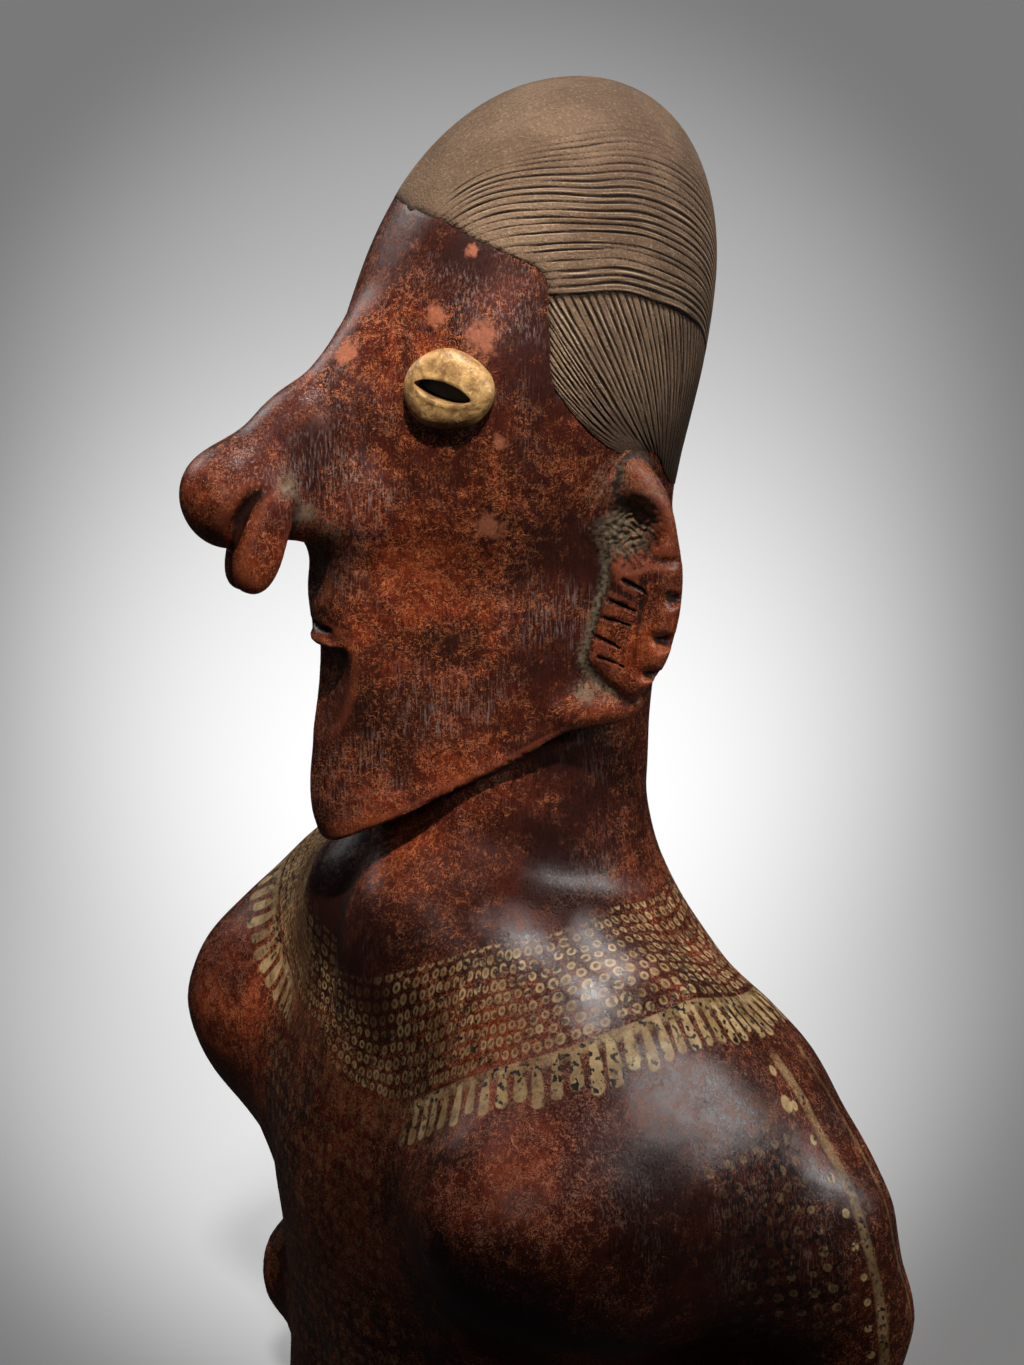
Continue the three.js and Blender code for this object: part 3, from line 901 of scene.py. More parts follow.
@dataclass(frozen=True)
class Hair:
    """Combed hair of bare clay: arched lines over the crown, fanned lines above the ears."""

    # Where rays to the hair start, and how many degrees the head's own front is lifted for its angles.
    centre: Point = (0.0, 5.0, 305.0)
    dip: float = 20.0
    # The shell's thickness, and how far the bust is sunk under it.
    thickness: float = 1.7
    ground: float = 0.95
    # The front hairline: angle back from the head's front against angle over the head.
    hairline: Curve = (
        (-12.1, 108), (-9.2, 91.6), (-2.3, 77.6), (1.4, 72.2), (5.6, 68.9), (17.9, 65.5),
        (30.7, 63.6), (36, 62.6), (39.4, 60.2), (44.7, 52.1), (53.2, 44), (73, 36.3), (90, 33.5))
    # The parting between the two zones: angle over the head against angle back.
    parting: Curve = ((60, 30.7), (72, 32.6), (84, 35.2), (98, 36), (123, 38.4), (150, 38.4))
    # The nape's edge: height against y.
    nape: Curve = (
        (9.5, 294.6), (12.5, 292.2), (16.4, 292.2), (20.6, 291.6), (23.8, 289.5), (27.5, 284), (31, 279.5),
        (34.5, 277), (38, 275.5), (40.5, 275))
    # Where the lower zone's lines start, on the hairline and the parting, and where they end.
    starts: tuple[Point, ...] = (
        (42, 9.5, 294.6), (43.1, 3.8, 298), (43.4, -4.6, 306.7), (42.4, -9, 314.5), (41.2, -9, 324.3),
        (39.1, -8.1, 334.4), (40.7, -0.7, 334.8), (41.4, 9.8, 334.6), (40.4, 21.3, 330.1),
        (36.3, 31.7, 324.3), (31.3, 38, 319.4), (22.2, 42.7, 310), (11.8, 47, 299.6), (0, 44.8, 291.2))
    ends: tuple[Point, ...] = (
        (41.3, 12.5, 292.2), (40.9, 13.8, 292.0), (40.7, 14.8, 292), (40.5, 15.6, 292.1), (40.4, 16.6, 292.1),
        (39.8, 18.4, 292), (39.2, 20.6, 291.4), (37.8, 24.2, 289.2), (35.6, 28.2, 283.4), (31, 32, 279),
        (25.5, 35, 277), (17, 38.3, 275.5), (8.5, 40.1, 275), (0, 40.5, 275))
    # Which of the starts is the corner between hairline and parting.
    corner_start: int = 5
    # Angles over the head: the crown's lowest line above the ear, the same at the front, and the lines' arch.
    side_angle: float = 35.2
    front_angle: float = 31.5
    arch: float = 10.0
    # How far a lower line sags, against its place from the front.
    sag: Curve = ((0, 0), (18, 2), (40, 3.2), (62, 4), (75, 2), (90, 0), (200, 0))
    # Distance between the mesh's rows and the points along each, over the crown and below the parting.
    crown_mesh: tuple[float, int] = (0.37, 84)
    lower_mesh: tuple[float, int] = (0.4, 30)
    # The incised lines: their spacing, depth and width, and the seed of the hand's unevenness.
    line_spacing: float = 2.05
    line_depth: float = 0.5
    line_width: float = 0.3
    seed: int = 7

    @property
    def axes(self) -> tuple[Array, Array, Array]:
        """Unit vectors ahead, to the left side and up, in the head's own frame."""
        c, s = math.cos(math.radians(self.dip)), math.sin(math.radians(self.dip))
        return np.array([0, -c, s]), np.array([1.0, 0, 0]), np.array([0, s, c])

    def angles(self, p: Triple) -> tuple[Array, Array]:
        """Angle over the head from its left side, and angle back from its front, in degrees.

        Args:
            p: The points.

        Returns:
            The two angles.
        """
        ahead, left, up = self.axes
        off = np.stack([p[i] - self.centre[i] for i in range(3)], -1)
        length = np.maximum(np.linalg.norm(off, axis=-1), 1e-6)
        return (np.degrees(np.arctan2(off @ up, off @ left)),
                np.degrees(np.arccos(np.clip(off @ ahead / length, -1, 1))))

    def inside(self, p: Triple) -> Array:
        """Rough distance inside the hair's edge, in millimetres."""
        over, back = self.angles(mirrored(p))
        return np.minimum((back - along(self.hairline, over)) * 0.85, p[2] - along(self.nape, p[1]))

    def ground_drop(self, p: Triple) -> Array:
        """How far the ground under the hair lies below the slip."""
        return self.ground * step(self.inside(p), 0.1, 1.3)

    def cast(self, head: HeadForm, directions: Array, level: float) -> Array:
        """Points of the skull's surface along rays from the hair's centre.

        Args:
            head: The head's form.
            directions: Unit vectors, last axis of three.
            level: The field value to stop at.

        Returns:
            Distances along the rays.
        """
        low = np.full(directions.shape[:-1], 20.0)
        high = np.full(directions.shape[:-1], 105.0)
        for _ in range(24):
            middle = (low + high) / 2
            p = tuple(self.centre[i] + directions[..., i] * middle for i in range(3))
            within = head.skull(p) < level
            low = np.where(within, middle, low)
            high = np.where(within, high, middle)
        return (low + high) / 2

    def grooves(self, points: Array, s: Array, strength: Array, rng: np.random.Generator) -> Array:
        """Depth of the incised lines.

        Args:
            points: Grid of surface points, first axis across the lines.
            s: Nominal place across the lines of each row, in millimetres.
            strength: Depth factor at each point.
            rng: Seeded source for the hand's unevenness.

        Returns:
            The depth at each point.
        """
        rows, columns = points.shape[:2]
        pitch = np.linalg.norm(np.gradient(points, axis=0), axis=-1)
        scale = pitch / np.maximum(np.gradient(s)[:, None], 1e-6)
        count = int(s[-1] / self.line_spacing) + 3
        home = (np.arange(count) + rng.uniform(-0.14, 0.14, count)) * self.line_spacing
        home[0] = 0.0
        t = np.linspace(0, 1, columns)
        wave = sum(rng.uniform(0.03, 0.16, count)[:, None] / (i * 0.6 + 0.7)
                   * np.sin(t[None] * 6.28 * (1.1 + 1.7 * i) + rng.uniform(0, 6.28, count)[:, None])
                   for i in range(5))
        press = 1 + sum(rng.uniform(0.05, 0.28, count)[:, None]
                        * np.sin(t[None] * 6.28 * (0.8 + 2.3 * i) + rng.uniform(0, 6.28, count)[:, None])
                        for i in range(4))
        wave[0] *= 0.2
        depth = np.zeros((rows, columns))
        nearest = np.clip(np.round(s / self.line_spacing).astype(int), 0, count - 1)
        column = np.arange(columns)[None]
        for shift in (-1, 0, 1):
            k = np.clip(nearest + shift, 0, count - 1)[:, None]
            gap = self.line_spacing * scale
            keep = np.where(k % 2 == 1, np.clip((gap - 1.1) / 0.5, 0, 1), np.clip((gap - 0.45) / 0.4, 0, 1))
            off = (s[:, None] - home[k] - wave[k, column] * 0.9) * scale
            width = self.line_width * (0.8 + 0.25 * press[k, column])
            cut = np.exp(-np.abs(off / width) ** 2.0)
            burr = 0.12 * np.exp(-((np.abs(off) - 1.75 * width) / (0.7 * width)) ** 2)
            depth = depth + (cut - burr) * press[k, column].clip(0.15, 1.6) * keep
        return depth * self.line_depth * strength

    def shell(self, name: str, head: HeadForm, directions: Array, s: Array, strength: Array, edge: Array,
              rng: np.random.Generator, flip: bool, pole: bool = False) -> bpy.types.Object:
        """A closed, grooved shell over a grid of directions.

        Args:
            name: Name of the piece.
            head: The head's form.
            directions: Grid of unit vectors, rows across the lines.
            s: Place across the lines of each row.
            strength: Depth factor of the lines.
            edge: Extra depth near the shell's own edges.
            rng: Seeded source.
            flip: True where the grid runs clockwise from outside.
            pole: True where the rows meet in one point, which is then merged.

        Returns:
            The piece, with its groove depth as an attribute.
        """
        reach = self.cast(head, directions, -HAIR_DEPTH)
        ground = np.array(self.centre) + directions * reach[..., None]
        depth = self.grooves(ground, s, strength, rng) + edge
        outer = ground - directions * depth[..., None]
        inner = ground - directions * self.thickness
        rows, columns = outer.shape[:2]
        total = rows * columns
        index = np.arange(total).reshape(rows, columns)
        a, b = index[:-1, :-1].ravel(), index[1:, :-1].ravel()
        c, d = index[1:, 1:].ravel(), index[:-1, 1:].ravel()
        top = np.stack([a, b, c, d], 1)
        under = np.stack([d, c, b, a], 1) + total
        ring = np.concatenate([index[:, 0], index[-1, 1:], index[-2::-1, -1], index[0, -2:0:-1]])
        after = np.roll(ring, -1)
        wall = np.stack([after, ring, ring + total, after + total], 1)
        faces = np.concatenate([top, under, wall])
        if flip:
            faces = faces[:, ::-1]
        points = np.concatenate([outer.reshape(-1, 3), inner.reshape(-1, 3)])
        piece = make_object(name, to_frame(points), faces)
        run = np.cumsum(np.linalg.norm(np.diff(ground, axis=1, prepend=ground[:, :1]), axis=-1), axis=1)
        values = {"groove": depth / self.line_depth, "across": s[:, None] + np.zeros_like(depth), "run": run}
        inner_values = {**values, "groove": np.zeros(total)}
        store(piece, {label: np.concatenate([value.ravel(), inner_values[label].ravel()])
                      for label, value in values.items()})
        if pole:
            only(piece)
            bpy.ops.object.mode_set(mode="EDIT")
            bpy.ops.mesh.select_all(action="SELECT")
            bpy.ops.mesh.remove_doubles(threshold=0.00001)
            bpy.ops.object.mode_set(mode="OBJECT")
        smooth(piece, 70)
        return piece

    def crown(self, head: HeadForm) -> bpy.types.Object:
        """The upper zone, from parting to parting over the top.

        Args:
            head: The head's form.

        Returns:
            The piece.
        """
        ahead, left, up = self.axes
        share = np.linspace(0, 1, 400)
        ring = np.radians(share * (180 - 2 * self.side_angle) + self.side_angle)
        around = left * np.cos(ring)[:, None] + up * np.sin(ring)[:, None]
        reach = self.cast(head, around, -HAIR_DEPTH)
        arc = lengths(around * reach[:, None])
        spacing, columns = self.crown_mesh
        rows = int(arc[-1] / spacing)
        s = np.linspace(0, arc[-1], rows)
        a = np.interp(s, arc, share)
        lift = self.arch * np.sin(2 * np.pi * a) ** 3
        front = self.front_angle + a * (180 - 2 * self.front_angle) + lift
        folded = np.where(front > 90, 180 - front, front)
        start = along(self.hairline, folded)[:, None]
        t = np.linspace(0, 1, columns)[None]
        back = start + t * (179.2 - start)
        low = along(self.parting, back)
        fade = np.clip((back - start) / 40, 0, 1)
        over = low + a[:, None] * (180 - 2 * low) + lift[:, None] * (1 - fade * fade * (3 - 2 * fade))
        over, back = np.radians(over), np.radians(back)
        directions = (np.cos(back)[..., None] * ahead + (np.sin(back) * np.cos(over))[..., None] * left
                      + (np.sin(back) * np.sin(over))[..., None] * up)
        side = np.minimum(s, arc[-1] - s)
        strength = 0.1 + 0.9 * np.clip((46 - side) / 22, 0, 1)[:, None] ** 1.3 + np.zeros_like(back)
        strength = strength * np.clip(t * 14, 0.25, 1)
        edge = 0.22 * np.exp(-(side / 0.35) ** 2)[:, None] + 0.12 * np.exp(-(t * 60) ** 2)
        rng = np.random.default_rng(self.seed)
        return self.shell("hair_crown", head, directions, s, strength, edge, rng, True, True)

    def lower(self, head: HeadForm, side: Side) -> bpy.types.Object:
        """The lower zone of one side.

        Args:
            head: The head's form.
            side: Which side.

        Returns:
            The piece.
        """
        starts, ends = np.array(self.starts, float), np.array(self.ends, float)
        place = lengths(starts)
        spacing, columns = self.lower_mesh
        rows = int(place[-1] / spacing)
        s = np.linspace(0, place[-1], rows)
        start = np.stack([along(tuple(zip(place, starts[:, i])), s) for i in range(3)], 1)
        end = np.stack([along(tuple(zip(place, ends[:, i])), s) for i in range(3)], 1)
        # The corner where hairline and parting meet stays sharp.
        corner = place[self.corner_start]
        blend = np.exp(-((s - corner) / 2.5) ** 2)[:, None]
        straight = np.stack([np.interp(s, place, starts[:, i]) for i in range(3)], 1)
        start = start * (1 - blend) + straight * blend
        t = np.linspace(0, 1, columns)
        grid = start[:, None] * (1 - t[None, :, None]) + end[:, None] * t[None, :, None]
        sag = np.interp(s, *zip(*self.sag))
        grid[..., 2] -= sag[:, None] * 4 * (t * (1 - t))[None]
        off = grid - np.array(self.centre)
        directions = off / np.linalg.norm(off, axis=-1, keepdims=True)
        on_parting = np.clip((s - corner) / 1.5, 0, 1)[:, None]
        length = np.linalg.norm(end - start, axis=1)[:, None] * t[None]
        edge = (0.12 + 0.2 * on_parting) * np.exp(-(length / 0.6) ** 2)
        edge = edge + 0.12 * np.exp(-((1 - t[None]) * 20) ** 2)
        strength = 0.85 + np.zeros_like(edge)
        directions = directions * np.array([side.value, 1, 1])
        rng = np.random.default_rng(self.seed + side.value)
        name = "hair_" + side.name.lower()
        return self.shell(name, head, directions, s, strength, edge, rng, side is Side.LEFT)


@dataclass(frozen=True)
class Eye:
    """An applied coffee-bean eye: a domed pellet with a lens-shaped slit."""

    place: Point = (29.9, -31.0, 311.5)
    half_width: float = 11.4
    half_height: float = 10.2
    height: float = 5.2
    # The slit's half length, half width and depth, and its tilt in degrees.
    slit_half: Point = (7.5, 2.3, 4.4)
    slit_tilt: float = -12.0
    # Depth of the pellet's foot in the face.
    foot: float = -3.0
    rings: int = 72
    spokes: int = 168

    def build(self, head: HeadForm, side: Side, drop: float) -> bpy.types.Object:
        """Builds one eye on the face.

        Args:
            head: The head's form.
            side: Which eye.
            drop: How much lower and further back than its place it sits.

        Returns:
            The piece.
        """
        at = np.array([self.place]) + drop * np.array([0.0, 0.75, -1.0])
        at = settle(head.skull, at, -SLIP_DEPTH, np.array([20.0]), 6)
        out = slope(head.skull, at)[0]
        out /= np.linalg.norm(out)
        back = np.cross([0, 0, 1.0], out)
        back /= np.linalg.norm(back)
        up = np.cross(out, back)
        rings, spokes = self.rings, self.spokes
        rho = np.linspace(0.004, 1, rings) ** 0.85
        theta = np.linspace(0, 2 * np.pi, spokes, endpoint=False)
        lumpy = 1 + 0.022 * np.sin(2 * theta + 1) + 0.018 * np.sin(3 * theta + 2.2) + 0.01 * np.sin(5 * theta)
        u = rho[:, None] * (np.cos(theta) * lumpy)[None] * self.half_width
        w = rho[:, None] * (np.sin(theta) * lumpy)[None] * self.half_height
        dome = self.height * (1 - rho**3.2).clip(0) ** 0.5 * (1 - 0.1 * (1 - rho) ** 2)
        h = dome[:, None] + 0.35 * np.sin(theta * 2 + 0.8)[None] * rho[:, None] * (1 - rho[:, None])
        tilt = math.radians(self.slit_tilt)
        su = u * math.cos(tilt) + w * math.sin(tilt)
        sw = w * math.cos(tilt) - u * math.sin(tilt)
        half = self.slit_half[1] * (1 - np.abs(su / self.slit_half[0]) ** 2.2).clip(0) ** 0.8
        depth = np.clip((half - np.abs(sw)) / 0.55 + 0.5, 0, 1)
        depth = depth * depth * (3 - 2 * depth) * np.clip(half / 0.6, 0, 1)
        lip = 0.3 * np.exp(-((np.abs(sw) - half - 0.9) / 0.8) ** 2) * np.clip(1 - (su / 8.5) ** 2, 0, 1)
        h = h + lip * (1 - depth) - self.slit_half[2] * depth
        rim = np.stack([u[-1], w[-1]], 1) * 0.97
        flat = np.concatenate([np.stack([u.ravel(), w.ravel()], 1), rim, [[0, 0], [0, 0]]])
        rise = np.concatenate([h.ravel(), np.full(spokes, self.foot), [h[0].mean(), self.foot]])
        total = rings * spokes
        index = np.arange(total).reshape(rings, spokes)
        rims = np.concatenate([index, np.arange(total, total + spokes)[None]])
        nxt = np.roll(rims, -1, axis=1)
        quads = np.stack([rims[:-1], rims[1:], nxt[1:], nxt[:-1]], -1).reshape(-1, 4)
        middle, bottom = total + spokes, total + spokes + 1
        caps = np.concatenate([
            np.stack([np.full(spokes, middle), index[0], np.roll(index[0], -1)], 1),
            np.stack([np.full(spokes, bottom), nxt[-1], rims[-1]], 1)])
        triangles = np.concatenate([quads[:, [0, 1, 2]], quads[:, [0, 2, 3]], caps])
        points = at + flat[:, :1] * back + flat[:, 1:] * up + rise[:, None] * out
        points = points * np.array([side.value, 1, 1])
        name = "eye_" + side.name.lower()
        piece = make_object(name, to_frame(points), triangles if side is Side.LEFT else triangles[:, ::-1])
        value = np.concatenate([depth.ravel(), np.zeros(spokes + 2)])
        value[middle] = depth[0].mean()
        store(piece, {"slit": value})
        smooth(piece, 70)
        return piece


@dataclass(frozen=True)
class Marks:
    """Where paint, wear, dust, painted shade and painted sheen lie on the bust."""

    # Place along the yoke's border against the angle around the neck, and the border's own measure.
    around: Curve = (
        (-90, 0), (-73.8, 15.6), (-55, 35.6), (-43.3, 52.2), (-36.8, 64.1), (-27, 81.4), (-17.1, 97.4),
        (-8.6, 110.8), (-3, 119.2), (12.9, 142.9), (46.2, 187.4), (90, 235))
    border: Curve = (
        (-90, -46), (-73.8, -43), (-55, -39), (-43.3, -37.2), (-27, -36.7), (-17.1, -37.6), (-8.6, -40.9),
        (-3, -43), (12.9, -49.5), (46.2, -48.5), (70, -50), (90, -52))
    # How much closer the rows lie, against the angle.
    closeness: Curve = ((-90, 1.5), (-70, 1.3), (-50, 1.0), (-28, 0.8), (50, 0.8), (90, 0.8))
    # Spacing of the yoke's dots against the place along its border.
    dot_pitch: Curve = (
        (0, 3.1), (50, 3.0), (62, 2.65), (82, 2.7), (97, 3.5), (110, 4.5), (140, 4.9), (235, 5.0))
    # What each millimetre of height takes off the radius, and the border's shift on the far side.
    fall: float = 0.8
    far_shift: float = 7.0
    # The sleeve's stripe: y against height.
    stripe: Curve = (
        (50, 59), (60, 58.5), (67, 57.6), (79, 55.9), (96, 51.3), (109.6, 48.6), (121, 45.3), (131.6, 41.4),
        (145, 35))
    # Places on the surface, as x, y, z and radius: rubbed bare.
    rub: Spots = (
        (33.8, -22.3, 276.2, 4.6), (33.6, -24.3, 324.7, 5.5), (23.7, -31.8, 328.9, 3.6),
        (38.3, -21.1, 299.2, 2.4), (11.0, -83.0, 287.4, 1.8), (5.2, -48.0, 317.0, 4.5),
        (25.0, -22.9, 344.6, 2.2), (-28, -28, 290, 5), (94, -30, 131, 3.2), (-90, -20, 128, 5),
        (20, 62, 120, 6), (-30, 58, 90, 7))
    # Fired or rubbed to orange.
    warm: Spots = (
        (24, -30, 257, 22), (12, -46, 194, 14), (28, -22, 208, 13), (2, -90, 285, 9), (12, -78, 266, 9),
        (24.5, -34.9, 318.2, 12), (96, -46, 128, 17), (62, -40, 150, 22), (20, -56, 90, 30),
        (-67, -59, 117, 26), (38, 7, 226, 11), (49, 19, 243, 15), (-26, -28, 250, 24), (-95, -20, 120, 30),
        (0, 60, 110, 30))
    # Clouded dark, and painted shade where shadow falls: under the nose, lip and chin, on the neck under the
    # jaw, beside the nose, at the temple, behind the cheek, under the shoulder and down the arm.
    dark_and_shade: Spots = (
        (38.2, 2.2, 265.9, 15), (36.9, -5.3, 240.2, 13), (23.9, -28.3, 244.8, 7), (107.3, -10, 124, 18),
        (25, -23, 344, 14), (37, -4, 205, 22), (-38, 0, 262, 18), (30, -22, 302, 6), (15, -51, 160, 16),
        (-3, -48, 162, 16), (24, -51, 150, 10), (14, -57, 262, 11), (13, -60, 297, 12), (9, -56, 226, 9),
        (84, -48, 92, 26), (104, 12, 100, 30), (36, -8, 318, 17), (40, -10, 200, 20), (45, -8, 185, 22))
    # Dusty.
    dust: Spots = (
        (11.5, -67, 286.5, 4.5), (13.5, -62.5, 279, 4), (15, -57, 272, 5), (39, 2, 231, 4),
        (37, 6, 233.5, 4.5), (-11.5, -60, 280, 5))
    # Scuffed greyish on the nose and face; on both shoulders and the saddle beside the neck the greyish
    # streaks are painted sheen.
    scuffs_and_sheen: Spots = (
        (14, -60, 292, 16), (14, -52, 283, 13), (11, -52, 264, 10), (10, -60, 300, 16), (30, -20, 330, 12),
        (9, -50, 205, 12), (25, -30, 225, 14), (37, -5, 250, 9), (94, -17, 146, 22), (97, 20, 132, 26),
        (52, -5, 173, 18), (-20, -50, 270, 16), (-90, 0, 140, 25))
    # How far apart the bend of the surface is measured.
    bend_reach: float = 2.0

    def yoke(self, p: Triple) -> tuple[Array, Array]:
        """Place along the yoke's border and distance inside it, in millimetres.

        Args:
            p: The points.

        Returns:
            The place and the distance.
        """
        angle = np.degrees(np.arctan2(p[1], np.abs(p[0])))
        radius = np.hypot(p[0], p[1])
        far = np.where(p[0] < 0, self.far_shift * np.clip((-20 - angle) / 30, 0, 1), 0)
        edge = along(self.border, angle) - far
        inward = (edge - (radius - self.fall * p[2])) * along(self.closeness, angle)
        return along(self.around, angle), inward

    def spread(self, bust: bpy.types.Object, figure: Field, ear: EarForm) -> None:
        """Writes the attributes.

        Args:
            bust: The finished bust.
            figure: Distance to the whole figure.
            ear: The ear's form, for the dust that lies in it.
        """
        co, facing = np.empty((2, len(bust.data.vertices) * 3), np.float32)
        bust.data.vertices.foreach_get("co", co)
        bust.data.vertex_normals.foreach_get("vector", facing)
        points = co.reshape(-1, 3).astype(float) / MM - np.array([0.0, MIDDLE_SHIFT, 0.0])
        p = (points[:, 0], points[:, 1], points[:, 2])
        along_yoke, inward = self.yoke(p)
        # On the arm's back, one step outwards is a long way round, so that the stripe keeps its width there.
        steep = np.sqrt(np.clip(1 - np.clip(facing[1::3], 0, 1) ** 2, 0.06, 1))
        spacing = 0.5
        place = np.arange(-2.0, 240.0, spacing)
        dots = np.cumsum(spacing / along(self.dot_pitch, place))
        reach = self.bend_reach
        total = -6 * figure(p)
        for axis in range(3):
            for sign in (1, -1):
                total = total + figure(tuple(p[i] + (sign * reach if i == axis else 0) for i in range(3)))
        values = {
            "yoke_along": along_yoke,
            "yoke_in": inward,
            "sleeve": (p[1] - along(self.stripe, p[2])) / steep,
            "dots": np.interp(along_yoke, place, dots),
            "dot_pitch": along(self.dot_pitch, along_yoke),
            "bend": np.clip(total / reach**2 * 10, -4, 4),
        }
        for name in ("rub", "warm", "dark_and_shade", "dust", "scuffs_and_sheen"):
            values[name] = np.zeros(len(points))
            for x, y, z, radius in getattr(self, name):
                gap = ((p[0] - x) ** 2 + (p[1] - y) ** 2 + (p[2] - z) ** 2) / radius**2
                values[name] = np.maximum(values[name], np.exp(-gap))
        values["dust"] = np.maximum(values["dust"], ear.dirt(mirrored(p)))
        store(bust, values)


def colour(code: str) -> tuple[float, float, float, float]:
    """An sRGB hex colour as linear values.

    Args:
        code: Six hex digits after a #.

    Returns:
        Red, green, blue and 1.
    """
    parts = [int(code[i:i + 2], 16) / 255 for i in (1, 3, 5)]
    linear = [c / 12.92 if c <= 0.04045 else ((c + 0.055) / 1.055) ** 2.4 for c in parts]
    return (*linear, 1.0)


# The nodes that go by a short name: type, settings, inputs in order, and outputs.
# Any other name is an operation of the Math node.
KINDS: dict[str, tuple[str, dict[str, str], tuple[int | str, ...], tuple[int | str, ...]]] = {
    "ATTRIBUTE": ("Attribute", {}, (), ("Fac",)),
    "BLEND": ("Mix", {"data_type": "RGBA"}, (0, 6, 7), (2,)),
    "BUMP": ("Bump", {}, ("Height", "Distance"), (0,)),
    "CELL": ("CombineXYZ", {}, (0, 1, 2), (0,)),
    "CHANCE": ("TexWhiteNoise", {"noise_dimensions": "3D"}, ("Vector",), ("Color",)),
    "NOISE": ("TexNoise", {}, ("Vector", "Scale", "Detail", "Roughness", "Distortion"), (0,)),
    "PLACE": ("TexCoord", {}, (), ("Object",)),
    "RAMP": ("MapRange", {"interpolation_type": "SMOOTHSTEP"}, (0, 1, 2), (0,)),
    "SCALE": ("VectorMath", {"operation": "SCALE"}, (0, "Scale"), (0,)),
    "SPLIT": ("SeparateXYZ", {}, (0,), (0, 1, 2)),
    "STRETCH": ("VectorMath", {"operation": "MULTIPLY"}, (0, 1), (0,)),
}


class Finish:
    """A node material whose patterns are measured in millimetres."""

    def __init__(self, name: str) -> None:
        """Makes the material, with its shader and the place on the object in millimetres.

        Args:
            name: The material's name.
        """
        self.material = bpy.data.materials.new(name)
        self.material.use_nodes = True
        self.tree = self.material.node_tree
        self.shader = self.tree.nodes["Principled BSDF"]
        self.where = self.node("SCALE", self.node("PLACE"), 1 / MM)

    def node(self, kind: str, *inputs: object, **settings: object) -> Socket | tuple[Socket, ...]:
        """Adds a node with its settings and links.

        Args:
            kind: A name in KINDS, or an operation of the Math node.
            *inputs: Sockets, numbers, vectors or hex colours, in order.
            **settings: The node's own settings, besides those in KINDS.

        Returns:
            Its output, or its outputs where it has several.
        """
        sort, fixed, keys, wanted = KINDS.get(kind, ("Math", {"operation": kind}, (0, 1, 2), (0,)))
        node = self.tree.nodes.new("ShaderNode" + sort)
        for name, value in {**fixed, **settings}.items():
            setattr(node, name, value)
        for key, value in zip(keys, inputs):
            if isinstance(value, Socket):
                self.tree.links.new(value, node.inputs[key])
            else:
                node.inputs[key].default_value = colour(value) if isinstance(value, str) else value
        outputs = tuple(node.outputs[key] for key in wanted)
        return outputs if len(outputs) > 1 else outputs[0]

    def chances(self, first: object, second: object) -> tuple[Socket, Socket, Socket]:
        """Three chance values from 0 to 1 for a numbered cell."""
        return self.node("SPLIT", self.node("CHANCE", self.node("CELL", first, second, 0.5)))

    def layers(self, base: Socket, *layers: tuple[Socket, object, object]) -> Socket:
        """Lays colours over one another.

        Args:
            base: The colour below.
            *layers: The mask, its share and the colour of each layer, from below.

        Returns:
            The colour on top.
        """
        for mask, share, tint in layers:
            base = self.node("BLEND", self.node("MULTIPLY", mask, share), base, tint)
        return base

    def dress(self, base: Socket, rough: object, height: Socket) -> bpy.types.Material:
        """Gives the shader its colour, roughness and bump.

        Args:
            base: The colour.
            rough: The roughness, or one number where it is the same all over.
            height: The bump's height in millimetres.

        Returns:
            The material.
        """
        values = {"Base Color": base, "Roughness": rough, "Normal": self.node("BUMP", height, MM)}
        for name, value in values.items():
            if isinstance(value, Socket):
                self.tree.links.new(value, self.shader.inputs[name])
            else:
                self.shader.inputs[name].default_value = value
        return self.material
